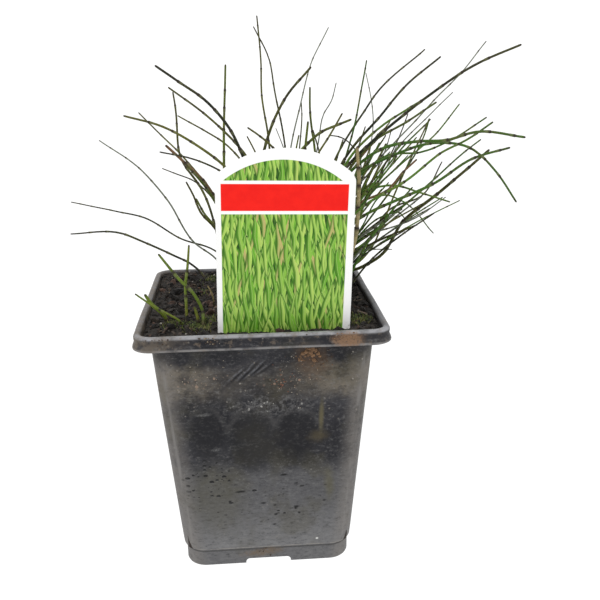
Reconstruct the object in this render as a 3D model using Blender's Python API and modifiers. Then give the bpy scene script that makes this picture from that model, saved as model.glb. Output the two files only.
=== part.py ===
# Horsetail plant in a square nursery pot, modelled with Blender.
#
# Frame: metres, +Z up, origin at the centre of the pot's base on the surface
# it stands on. -Y is the front, the side that carries the plant label.
# Dimensions below are in millimetres and are scaled once, by MM.

import math

import bmesh
import bpy
from mathutils import Matrix, Vector

MM = 0.001
GAP = 0.3                      # clearance between pieces that touch

# ---------------------------------------------------------------- dimensions
POT_HEIGHT = 100.0
RIM_WIDTH = 90.0               # outside of the rolled rim
RIM_DROP = 5.2                 # height of the rim's turned-down skirt
RIM_CORNER = 6.5
COLLAR = 3.1                   # the rim is a stepped collar this thick
LEDGE_TOP = 96.5               # inside, the wall steps out over a ledge
LEDGE_UNDER = 95.3
WALL_TOP = 79.6                # outside width of the wall under the rim
WALL_BASE = 64.4               # outside width of the wall, run down to z = 0
WALL = 1.1
WALL_CORNER_TOP = 5.5
WALL_CORNER_BASE = 8.0
FOOT_STEP = 8.0                # height of the small step above the foot
FOOT_INSET = 0.9
FOOT_RING = 2.6                # width of the foot the pot stands on
FLOOR_UNDER = 3.4              # the base plate is held up by the foot
FLOOR_PLATE = 1.3
NOTCH_WIDTH = 17.5             # gap in the foot, mid-way on each side
NOTCH_HEIGHT = 2.3
DRAIN_DIAMETER = 5.0
DRAIN_SPACING = 17.0

SOIL_TOP = 97.9                # mean level of the compost
STEM_DEPTH = 8.0               # how far a stem is planted

LABEL_WIDTH = 46.5
LABEL_THICK = 0.8
LABEL_SHOULDER = 55.0          # measured up the label from z = LABEL_Z
LABEL_CROWN = 64.2
LABEL_STAKE = 34.0             # hidden point, measured down the label
LABEL_X, LABEL_Y, LABEL_Z = 7.6, -34.5, 97.0
LABEL_LEAN = 2.0               # degrees, the top towards the front
LABEL_ROLL = 1.45              # degrees, the top towards +X

# ------------------------------------------------------------------- colours
TONES = {
    "dark": (0.020, 0.030, 0.008),
    "green": (0.035, 0.085, 0.015),
    "olive": (0.075, 0.105, 0.018),
    "bright": (0.190, 0.250, 0.030),
    "brown": (0.110, 0.080, 0.035),
    "straw": (0.330, 0.270, 0.130),
    "grey": (0.110, 0.120, 0.100),
}

# --------------------------------------------------------------------- stems
# name, radius, tone, root on the compost (x, y), points the stem passes
# through on its way to the tip (x, y, z)
STEMS = [
    ("stem_left_01", 0.50, "dark", (-4, -7), [(-5, -18, 157), (-9, -20, 166), (-15, -22, 174), (-25, -26, 182), (-32, -28, 187)]),
    ("stem_left_02", 0.48, "dark", (-2, 4), [(-4, 9, 154), (-12, 11, 163), (-21, 12, 171), (-32, 14, 179)]),
    ("stem_left_03", 0.42, "dark", (-8, 16), [(-6, 29, 150), (-12, 32, 156), (-20, 34, 161), (-31, 38, 167)]),
    ("stem_left_04", 0.50, "olive", (-8, 9), [(-12, 6, 150), (-11, 5, 171), (-10, 4, 187)]),
    ("stem_left_05", 0.44, "dark", (-10, -12), [(-11, -25, 154), (-19, -28, 161), (-30, -32, 168), (-42, -36, 172)]),
    ("stem_left_06", 0.40, "dark", (-5, 24), [(-18, 34, 135), (-28, 39, 148), (-40, 44, 160), (-48, 47, 168)]),
    ("stem_left_07", 0.45, "dark", (-13, 7), [(-22, 15, 141), (-29, 17, 152), (-30, 20, 168), (-31, 22, 177)]),
    ("stem_left_08", 0.34, "dark", (-5, -17), [(-13, -20, 152), (-21, -21, 156), (-33, -22, 159)]),
    ("stem_left_09", 0.62, "brown", (-6, 1), [(-16, -5, 141), (-19, -7, 146), (-27, -9, 155), (-32, -10, 160)]),
    ("stem_left_10", 0.34, "dark", (-12, 27), [(-19, 40, 133), (-26, 44, 139), (-34, 47, 142), (-40, 50, 144)]),
    ("stem_left_11", 0.42, "dark", (-10, -4), [(-16, -11, 130), (-21, -14, 137), (-23, -15, 143), (-25, -17, 148)]),
    ("stem_left_12", 0.50, "olive", (-14, 13), [(-17, 16, 125), (-21, 17, 130), (-24, 18, 136)]),
    ("stem_left_13", 0.34, "grey", (-12, 17), [(-17, 20, 110), (-26, 22, 117), (-36, 26, 134), (-46, 29, 146), (-63, 34, 158)]),
    ("stem_left_14", 0.36, "dark", (-6, 20), [(-18, 28, 112), (-32, 34, 116), (-48, 42, 124), (-61, 48, 126), (-82, 57, 129)]),
    ("stem_left_15", 0.44, "dark", (-23, 33), [(-28, 35, 104), (-36, 37, 108), (-50, 41, 114), (-59, 44, 117), (-82, 50, 116)]),
    ("stem_left_16", 0.50, "olive", (-2, -3), [(-15, -11, 139), (-21, -14, 149), (-25, -15, 154)]),
    ("stem_top_01", 0.38, "dark", (2, 6), [(5, 9, 162), (3, 10, 176), (3, 11, 188), (2, 12, 204)]),
    ("stem_top_02", 0.36, "dark", (6, 14), [(12, 22, 156), (9, 25, 175), (6, 28, 191), (1, 30, 201)]),
    ("stem_top_03", 0.55, "dark", (0, -8), [(3, -15, 159), (7, -17, 170), (11, -18, 177), (19, -20, 186)]),
    ("stem_top_04", 0.30, "grey", (11, 18), [(15, 30, 154), (20, 34, 173), (24, 38, 186), (32, 42, 201)]),
    ("stem_top_05", 0.48, "olive", (16, 3), [(22, -2, 156), (20, -3, 171), (20, -4, 179)]),
    ("stem_top_06", 0.55, "olive", (12, -10), [(17, -17, 159), (18, -18, 168)]),
    ("stem_top_07", 0.34, "dark", (9, 24), [(19, 33, 154), (20, 35, 165), (20, 36, 172)]),
    ("stem_top_08", 0.42, "dark", (13, 9), [(6, -19, 159), (1, -24, 164), (-3, -27, 167)]),
    ("stem_top_09", 0.40, "dark", (10, -15), [(20, -34, 159), (23, -36, 164), (27, -40, 172)]),
    ("stem_top_10", 0.60, "olive", (8, -3), [(17, -9, 158), (24, -11, 164), (29, -11, 166), (34, -12, 168)]),
    ("stem_right_01", 0.48, "dark", (16, -4), [(33, -19, 154), (46, -25, 167), (56, -31, 176), (71, -39, 187), (82, -44, 192)]),
    ("stem_right_02", 0.30, "grey", (20, 17), [(41, 9, 144), (55, 4, 160), (68, 0, 175), (76, -3, 184), (83, -6, 194)]),
    ("stem_right_03", 0.42, "dark", (14, 12), [(35, 24, 154), (44, 27, 167), (51, 30, 176), (71, 36, 192)]),
    ("stem_right_04", 0.52, "dark", (18, 6), [(37, 10, 155), (49, 11, 168), (59, 13, 179), (72, 14, 189)]),
    ("stem_right_05", 0.40, "green", (17, 17), [(37, 18, 154), (39, 18, 161), (41, 18, 171), (44, 18, 188)]),
    ("stem_right_06", 0.50, "green", (22, -2), [(37, -6, 157), (47, -7, 166), (55, -8, 171), (60, -8, 174)]),
    ("stem_right_07", 0.52, "olive", (21, 1), [(39, -1, 154), (44, -1, 159), (56, -2, 166), (67, -2, 173)]),
    ("stem_right_08", 0.30, "grey", (24, 21), [(51, 28, 143), (60, 29, 154), (75, 32, 168), (83, 34, 175)]),
    ("stem_right_09", 0.40, "green", (24, 12), [(43, 15, 134), (56, 17, 146), (73, 19, 160), (82, 20, 171)]),
    ("stem_right_10", 0.36, "green", (20, -14), [(35, -21, 139), (44, -25, 152), (49, -27, 159), (58, -30, 169)]),
    ("stem_right_11", 0.40, "green", (22, 14), [(39, 3, 145), (50, -1, 154), (61, -4, 155), (72, -8, 160), (83, -12, 168)]),
    ("stem_right_12", 0.42, "green", (18, -18), [(34, -28, 138), (50, -35, 150), (60, -39, 159), (68, -43, 164), (74, -46, 169)]),
    ("stem_right_13", 0.50, "green", (19, 3), [(35, -21, 153), (44, -28, 160), (53, -33, 162), (61, -40, 163), (69, -46, 166), (81, -56, 165)]),
    ("stem_right_14", 0.46, "green", (28, 7), [(36, -14, 149), (47, -21, 156), (60, -29, 161), (70, -36, 160), (77, -43, 153), (82, -50, 144)]),
    ("stem_right_15", 0.50, "green", (23, -6), [(36, -17, 133), (50, -22, 141), (61, -27, 147), (72, -33, 156), (83, -38, 160)]),
    ("stem_right_16", 0.62, "dark", (29, 28), [(43, 22, 104), (51, 18, 110), (58, 9, 126), (70, -2, 140), (83, -17, 157)]),
    ("stem_right_17", 0.40, "dark", (30, 34), [(42, 33, 102), (50, 33, 110), (54, 32, 120), (60, 31, 136), (72, 28, 165)]),
    ("stem_right_18", 0.42, "green", (30, 8), [(39, -1, 140), (45, -2, 142), (51, -4, 143), (62, -6, 140), (72, -9, 137)]),
    ("stem_right_19", 0.42, "dark", (21, 27), [(43, 32, 107), (59, 38, 126), (74, 42, 131), (83, 46, 145)]),
    ("stem_right_20", 0.30, "grey", (24, 31), [(44, 44, 104), (49, 47, 105), (64, 57, 103)]),
    ("stem_right_21", 0.34, "grey", (27, 16), [(42, 21, 118), (53, 23, 120), (67, 26, 124), (81, 30, 132)]),
    ("stem_right_22", 0.34, "green", (22, 23), [(44, 29, 119), (55, 33, 133), (63, 35, 130), (79, 40, 114)]),
    ("stem_right_23", 0.75, "straw", (28, -17), [(35, -21, 131), (35, -23, 141), (35, -24, 148), (34, -26, 160)]),
    ("stem_right_24", 0.50, "brown", (25, -2), [(39, -5, 137), (49, -7, 142), (54, -7, 148), (59, -8, 153)]),
    ("stem_right_25", 0.55, "dark", (27, 21), [(40, 20, 112), (45, 20, 115), (49, 20, 119)]),
    ("stem_front_01", 0.55, "bright", (-27, -22), [(-27, -22, 106), (-27, -21, 111), (-26, -20, 117), (-25, -20, 126)]),
    ("stem_front_02", 0.62, "bright", (-21, -27), [(-21, -25, 102), (-24, -24, 109), (-29, -22, 114), (-36, -20, 123)]),
    ("stem_front_03", 0.45, "bright", (-28, -27), [(-29, -30, 101), (-37, -32, 107), (-43, -35, 113)]),
    ("stem_front_04", 0.75, "bright", (-34, -22), [(-35, -23, 101), (-39, -25, 106), (-41, -26, 110)]),
    ("stem_front_05", 0.60, "bright", (-23, -26), [(-23, -26, 101), (-24, -26, 105)]),
]


# ------------------------------------------------------------------- helpers
def clear_scene():
    for obj in list(bpy.data.objects):
        bpy.data.objects.remove(obj, do_unlink=True)


def make_collection(name):
    coll = bpy.data.collections.new(name)
    bpy.context.scene.collection.children.link(coll)
    return coll


def make_material(name, color, roughness, metallic=0.0):
    mat = bpy.data.materials.new(name)
    mat.use_nodes = True
    bsdf = mat.node_tree.nodes["Principled BSDF"]
    bsdf.inputs["Base Color"].default_value = (*color, 1.0)
    bsdf.inputs["Roughness"].default_value = roughness
    bsdf.inputs["Metallic"].default_value = metallic
    return mat


def link_mesh(name, mesh, coll, mat=None):
    obj = bpy.data.objects.new(name, mesh)
    coll.objects.link(obj)
    if mat is not None:
        obj.data.materials.append(mat)
    return obj


def curve_to_mesh(curve_obj, coll, mat=None):
    """Replace a curve object by its closed mesh, with the end caps welded on."""
    bpy.context.view_layer.update()
    deps = bpy.context.evaluated_depsgraph_get()
    mesh = bpy.data.meshes.new_from_object(curve_obj.evaluated_get(deps))
    bm = bmesh.new()
    bm.from_mesh(mesh)
    bmesh.ops.remove_doubles(bm, verts=bm.verts, dist=0.00001)
    bmesh.ops.recalc_face_normals(bm, faces=bm.faces)
    bm.to_mesh(mesh)
    bm.free()
    name = curve_obj.name
    matrix = curve_obj.matrix_world.copy()
    bpy.data.objects.remove(curve_obj, do_unlink=True)
    obj = link_mesh(name, mesh, coll)
    obj.name = name
    obj.matrix_world = matrix
    obj.data.materials.clear()
    if mat is not None:
        obj.data.materials.append(mat)
    return obj


def as_cutter(obj):
    obj.hide_render = True
    obj.display_type = "WIRE"
    return obj


def cut(obj, cutter):
    mod = obj.modifiers.new("cut_" + cutter.name, "BOOLEAN")
    mod.operation = "DIFFERENCE"
    mod.solver = "EXACT"
    mod.object = cutter


def cut_all(obj, coll):
    mod = obj.modifiers.new("cut_" + coll.name, "BOOLEAN")
    mod.operation = "DIFFERENCE"
    mod.solver = "EXACT"
    mod.operand_type = "COLLECTION"
    mod.collection = coll


def rounded_square(half, radius, z, steps=4):
    """Corner-rounded square ring at height z, counter-clockwise from +X."""
    ring = []
    for quarter in range(4):
        turn = math.radians(90 * quarter)
        cx, cy = half - radius, half - radius
        for k in range(steps + 1):
            a = math.radians(90 * k / steps)
            x = cx + radius * math.cos(a)
            y = cy + radius * math.sin(a)
            ring.append(Vector((x * math.cos(turn) - y * math.sin(turn),
                                x * math.sin(turn) + y * math.cos(turn), z)))
    return ring


def loft(name, rings, coll, mat, smooth=True):
    """Skin a stack of rings and close both ends with a flat face."""
    bm = bmesh.new()
    rows = [[bm.verts.new(p * MM) for p in ring] for ring in rings]
    for lower, upper in zip(rows, rows[1:]):
        n = len(lower)
        for i in range(n):
            j = (i + 1) % n
            bm.faces.new((lower[i], lower[j], upper[j], upper[i]))
    bm.faces.new(list(reversed(rows[0])))
    bm.faces.new(rows[-1])
    bmesh.ops.recalc_face_normals(bm, faces=bm.faces)
    mesh = bpy.data.meshes.new(name)
    bm.to_mesh(mesh)
    bm.free()
    obj = link_mesh(name, mesh, coll, mat)
    if smooth:
        obj.data.shade_smooth()
        obj.data.set_sharp_from_angle(angle=math.radians(35))
    return obj


def soil_height(x, y):
    """Level of the compost: gently uneven, banked up along the back wall,
    with a clump at the front right and a hollow behind it."""
    ripple = 0.35 * math.sin(x / 7 + 1) * math.cos(y / 9)
    bank = 0.9 / (1 + math.exp(-(y - 27) / 3.0))
    hollow = -0.9 * math.exp(-((x - 27) ** 2 + (y - 10) ** 2) / 110)
    clump = 0.9 * math.exp(-((x - 34) ** 2 + (y + 20) ** 2) / 90)
    return SOIL_TOP + ripple + bank + hollow + clump


def smooth_path(points, count):
    """Even samples of a smooth curve through the points. It leaves the
    compost part-way between straight up and the way to the next point."""
    pts = [Vector(p) for p in points]
    dist = [0.0]
    for a, b in zip(pts, pts[1:]):
        dist.append(dist[-1] + (b - a).length)
    tangents = []
    for i in range(len(pts)):
        if i == 0:
            rise = 0.55 * (pts[1] - pts[0]).normalized() + 0.45 * Vector((0, 0, 1))
            tangents.append(rise.normalized())
        elif i == len(pts) - 1:
            tangents.append((pts[i] - pts[i - 1]).normalized())
        else:
            h0, h1 = dist[i] - dist[i - 1], dist[i + 1] - dist[i]
            v0 = (pts[i] - pts[i - 1]) / h0
            v1 = (pts[i + 1] - pts[i]) / h1
            tangents.append((v0 * h1 + v1 * h0) / (h0 + h1))
    out = []
    for k in range(count + 1):
        s = dist[-1] * k / count
        i = 0
        while i < len(pts) - 2 and s > dist[i + 1]:
            i += 1
        h = dist[i + 1] - dist[i]
        t = (s - dist[i]) / h
        out.append((2 * t ** 3 - 3 * t ** 2 + 1) * pts[i]
                   + (t ** 3 - 2 * t ** 2 + t) * h * tangents[i]
                   + (3 * t ** 2 - 2 * t ** 3) * pts[i + 1]
                   + (t ** 3 - t ** 2) * h * tangents[i + 1])
    return out, dist[-1]


def tube(name, path, radii, coll, mat=None):
    """Round tube along a path in millimetres, as a closed mesh."""
    curve = bpy.data.curves.new(name, "CURVE")
    curve.dimensions = "3D"
    curve.bevel_depth = MM
    curve.bevel_resolution = 2
    curve.use_fill_caps = True
    spline = curve.splines.new("POLY")
    spline.points.add(len(path) - 1)
    for point, p, r in zip(spline.points, path, radii):
        point.co = (p.x * MM, p.y * MM, p.z * MM, 1.0)
        point.radius = r
    obj = bpy.data.objects.new(name, curve)
    coll.objects.link(obj)
    obj = curve_to_mesh(obj, coll, mat)
    obj.data.shade_smooth()
    obj.data.set_sharp_from_angle(angle=math.radians(50))
    return obj


# ----------------------------------------------------------------------- pot
def wall_half(z):
    return (WALL_BASE + (WALL_TOP - WALL_BASE) * z / POT_HEIGHT) / 2


def wall_corner(z):
    return WALL_CORNER_BASE + (WALL_CORNER_TOP - WALL_CORNER_BASE) * z / POT_HEIGHT


def build_pot(coll, cutters, mat):
    rim = RIM_WIDTH / 2
    top = POT_HEIGHT
    skirt = top - RIM_DROP
    foot = wall_half(FOOT_STEP) - FOOT_INSET
    inner = lambda z: wall_half(z) - WALL
    profile = [
        # base plate, seen from below, and the foot it hangs in
        (foot - FOOT_RING - 0.4, WALL_CORNER_BASE - FOOT_RING, FLOOR_UNDER),
        (foot - FOOT_RING, WALL_CORNER_BASE - FOOT_RING, 0.0),
        (foot - 0.5, WALL_CORNER_BASE - 0.5, 0.0),
        (foot, WALL_CORNER_BASE, 0.6),
        (foot, WALL_CORNER_BASE, FOOT_STEP - 0.7),
        (wall_half(FOOT_STEP), WALL_CORNER_BASE, FOOT_STEP),
        # the tapered wall
        (wall_half(38), wall_corner(38), 38.0),
        (wall_half(70), wall_corner(70), 70.0),
        (wall_half(LEDGE_UNDER), wall_corner(top), LEDGE_UNDER),
        # the step out under the rim, then the collar with its flared lip
        (rim - 1.9, RIM_CORNER - 1.6, LEDGE_UNDER + 0.2),
        (rim - 1.2, RIM_CORNER - 1.0, skirt),
        (rim - 0.2, RIM_CORNER, skirt),
        (rim, RIM_CORNER, skirt + 0.5),
        (rim - 0.15, RIM_CORNER, skirt + 1.5),
        (rim - 0.8, RIM_CORNER - 0.5, skirt + 2.4),
        (rim - 0.8, RIM_CORNER - 0.5, top - 0.9),
        (rim - 1.5, RIM_CORNER - 1.0, top - 0.15),
        (rim - 2.1, RIM_CORNER - 1.5, top),
        (rim - 2.8, RIM_CORNER - 2.1, top - 0.5),
        # inside of the collar, the ledge, and the inside of the wall
        (rim - COLLAR, RIM_CORNER - 2.4, LEDGE_TOP),
        (inner(LEDGE_TOP), wall_corner(top) - WALL, LEDGE_TOP),
        (inner(70), wall_corner(70) - WALL, 70.0),
        (inner(38), wall_corner(38) - WALL, 38.0),
        (inner(FLOOR_UNDER + 4), WALL_CORNER_BASE - WALL, FLOOR_UNDER + 4),
        (inner(FLOOR_UNDER + FLOOR_PLATE) - 1.5, WALL_CORNER_BASE - WALL - 1.2,
         FLOOR_UNDER + FLOOR_PLATE),
    ]
    pot = loft("pot", [rounded_square(h, r, z) for h, r, z in profile], coll, mat)

    # a gap in the foot on each side
    for axis in (0, 1):
        bpy.ops.mesh.primitive_cube_add(size=1)
        notch = bpy.context.object
        notch.name = "foot_notch_x" if axis else "foot_notch_y"
        for c in list(notch.users_collection):
            c.objects.unlink(notch)
        cutters.objects.link(notch)
        notch.data.transform(Matrix.Diagonal(
            (NOTCH_WIDTH * MM, 2 * RIM_WIDTH * MM, 2 * NOTCH_HEIGHT * MM, 1)))
        if axis:
            notch.rotation_euler = (0, 0, math.radians(90))
        bevel = notch.modifiers.new("eased_ends", "BEVEL")
        bevel.width = 1.6 * MM
        bevel.segments = 2
        cut(pot, as_cutter(notch))

    # drain holes through the base plate
    spots = [(0, 0)] + [(sx * DRAIN_SPACING, sy * DRAIN_SPACING)
                        for sx in (-1, 1) for sy in (-1, 1)]
    for i, (x, y) in enumerate(spots):
        bpy.ops.mesh.primitive_cylinder_add(
            vertices=12, radius=DRAIN_DIAMETER / 2 * MM, depth=6 * MM,
            location=(x * MM, y * MM, (FLOOR_UNDER + FLOOR_PLATE / 2) * MM))
        hole = bpy.context.object
        hole.name = "drain_%d" % (i + 1)
        for c in list(hole.users_collection):
            c.objects.unlink(hole)
        cutters.objects.link(hole)
        cut(pot, as_cutter(hole))
    return pot


# ---------------------------------------------------------------------- soil
def build_soil(coll, cutters, mat):
    """The root ball: it fills the pot up to an uneven surface."""
    steps = 5
    inside = lambda z: wall_half(z) - WALL - GAP
    bottom = FLOOR_UNDER + FLOOR_PLATE + GAP
    rings = [
        rounded_square(inside(bottom) - 1.6, WALL_CORNER_BASE - 2.6, bottom, steps),
        rounded_square(inside(bottom + 3.2) - 0.1, WALL_CORNER_BASE - WALL, bottom + 3.2, steps),
        rounded_square(inside(38), wall_corner(38) - WALL - GAP, 38.0, steps),
        rounded_square(inside(70), wall_corner(70) - WALL - GAP, 70.0, steps),
        # it steps out over the ledge inside the rim
        rounded_square(inside(LEDGE_TOP), wall_corner(LEDGE_TOP) - WALL - GAP, LEDGE_TOP + GAP, steps),
        rounded_square(RIM_WIDTH / 2 - COLLAR - GAP, RIM_CORNER - 2.4 - GAP, LEDGE_TOP + GAP, steps),
    ]
    for scale in (1.0, 0.86, 0.71, 0.56, 0.41, 0.26, 0.11):
        ring = rounded_square((RIM_WIDTH / 2 - COLLAR - GAP) * scale,
                              (RIM_CORNER - 2.4 - GAP) * scale, 0.0, steps)
        rings.append([Vector((p.x, p.y, soil_height(p.x, p.y))) for p in ring])
    soil = loft("soil", rings, coll, mat)
    cut_all(soil, cutters)
    return soil


# --------------------------------------------------------------------- label
def label_outline(grow=0.0):
    """Arched top, straight sides, and a stake that tapers to a blunt point."""
    half = LABEL_WIDTH / 2 + grow
    rise = LABEL_CROWN - LABEL_SHOULDER
    radius = ((LABEL_WIDTH / 2) ** 2 + rise ** 2) / (2 * rise)
    centre = LABEL_CROWN - radius
    radius += grow
    sweep = math.asin(half / radius)
    points = []
    for k in range(17):
        a = sweep * (1 - 2 * k / 16)
        points.append((radius * math.sin(a), centre + radius * math.cos(a)))
    shoulder = LABEL_SHOULDER - 1.2
    points = [(half, shoulder)] + [(x * 0.985, y) for x, y in points] + [(-half, shoulder)]
    down = -LABEL_STAKE
    points += [(-half, -10.0 - grow), (-half * 0.55, down + 9.0 - grow),
               (-2.0 - grow, down - grow), (2.0 + grow, down - grow),
               (half * 0.55, down + 9.0 - grow), (half, -10.0 - grow)]
    return points


def label_plate(name, grow, coll, mat=None):
    curve = bpy.data.curves.new(name, "CURVE")
    curve.dimensions = "2D"
    curve.fill_mode = "BOTH"
    curve.extrude = (LABEL_THICK / 2 + grow) * MM
    spline = curve.splines.new("POLY")
    outline = label_outline(grow)
    spline.points.add(len(outline) - 1)
    for point, (x, y) in zip(spline.points, outline):
        point.co = (x * MM, y * MM, 0.0, 1.0)
    spline.use_cyclic_u = True
    obj = bpy.data.objects.new(name, curve)
    coll.objects.link(obj)
    stand = Matrix.Rotation(math.radians(90), 4, "X")
    lean = Matrix.Rotation(math.radians(LABEL_LEAN), 4, "X")
    roll = Matrix.Rotation(math.radians(LABEL_ROLL), 4, "Y")
    place = Matrix.Translation(Vector((LABEL_X, LABEL_Y, LABEL_Z)) * MM)
    obj.matrix_world = place @ roll @ lean @ stand
    obj = curve_to_mesh(obj, coll, mat)
    obj.data.transform(obj.matrix_world)
    obj.matrix_world = Matrix.Identity(4)
    return obj


# --------------------------------------------------------------------- stems
def build_stem(entry, coll, cutters, mats):
    name, radius, tone, (rx, ry), via = entry
    level = soil_height(rx, ry)
    reach = [Vector((rx, ry, level))] + [Vector(p) for p in via]
    length = sum((b - a).length for a, b in zip(reach, reach[1:]))
    count = max(4, min(11, round(length / 9)))
    path, _ = smooth_path(reach, count)
    # the buried end goes straight down, in line with a vertical start
    foot = [Vector((rx, ry, level - STEM_DEPTH)), Vector((rx, ry, level + 0.6))]
    path = foot + path[1:]
    n = len(path)
    radii = [radius * (1.0 - 0.30 * max(0.0, (k / (n - 1) - 0.6) / 0.4)) for k in range(n)]
    radii[-1] = radius * 0.42
    tube(name, path, radii, coll, mats[tone])
    # its socket in the compost
    leave = (path[2] - path[1]).normalized()
    socket = [foot[0] - Vector((0, 0, GAP)), foot[1], foot[1] + leave * 3.0]
    as_cutter(tube("socket_" + name[5:], socket, [radius + GAP] * 3, cutters))


def main():
    clear_scene()
    plant = make_collection("horsetail_plant")
    pot_cutters = make_collection("pot_cutters")
    soil_cutters = make_collection("soil_cutters")

    pot_mat = make_material("pot_plastic", (0.022, 0.022, 0.024), 0.42)
    soil_mat = make_material("compost", (0.018, 0.012, 0.008), 0.95)
    label_mat = make_material("label_plastic", (0.86, 0.86, 0.84), 0.35)
    stem_mats = {tone: make_material("stem_" + tone, color, 0.55)
                 for tone, color in TONES.items()}

    build_pot(plant, pot_cutters, pot_mat)
    for entry in STEMS:
        build_stem(entry, plant, soil_cutters, stem_mats)
    label_plate("label", 0.0, plant, label_mat)
    as_cutter(label_plate("label_slot", GAP, soil_cutters))
    build_soil(plant, soil_cutters, soil_mat)

    for coll in (pot_cutters, soil_cutters):
        coll.hide_render = True


main()
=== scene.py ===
import math
import random

import bmesh
import bpy
import numpy as np
from mathutils import Matrix, Vector, noise


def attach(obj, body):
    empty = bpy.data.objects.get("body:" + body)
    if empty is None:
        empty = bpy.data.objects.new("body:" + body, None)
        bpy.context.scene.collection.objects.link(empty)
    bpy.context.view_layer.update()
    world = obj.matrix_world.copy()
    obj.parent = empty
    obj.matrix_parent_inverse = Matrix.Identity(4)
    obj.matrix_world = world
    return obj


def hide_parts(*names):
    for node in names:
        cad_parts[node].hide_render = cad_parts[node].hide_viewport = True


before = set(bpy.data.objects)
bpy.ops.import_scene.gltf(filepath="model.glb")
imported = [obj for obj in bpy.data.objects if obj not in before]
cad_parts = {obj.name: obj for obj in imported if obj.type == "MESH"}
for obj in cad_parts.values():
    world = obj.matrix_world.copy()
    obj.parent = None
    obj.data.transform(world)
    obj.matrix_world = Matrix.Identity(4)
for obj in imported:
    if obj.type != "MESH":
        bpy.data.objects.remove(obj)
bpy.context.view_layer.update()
MM = 0.001

# ------------------------------------------------------ the CAD's dimensions
POT_HEIGHT = 100.0
RIM_WIDTH = 90.0
RIM_DROP = 5.2
RIM_CORNER = 6.5
COLLAR = 3.1
LEDGE_TOP = 96.5
LEDGE_UNDER = 95.3
WALL_TOP = 79.6
WALL_BASE = 64.4
WALL = 1.1
WALL_CORNER_TOP = 5.5
WALL_CORNER_BASE = 8.0
FOOT_STEP = 8.0
FOOT_INSET = 0.9
FOOT_RING = 2.6
FLOOR_UNDER = 3.4
FLOOR_PLATE = 1.3
NOTCH_WIDTH = 17.5
NOTCH_HEIGHT = 2.3
DRAIN_DIAMETER = 5.0
DRAIN_SPACING = 17.0
SOIL_TOP = 97.9
LABEL_WIDTH = 46.5
LABEL_THICK = 0.8
LABEL_SHOULDER = 55.0
LABEL_CROWN = 64.2
LABEL_STAKE = 34.0
LABEL_X, LABEL_Y, LABEL_Z = 7.6, -34.5, 97.0
LABEL_LEAN = 2.0
LABEL_ROLL = 1.45
GAP = 0.3

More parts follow.
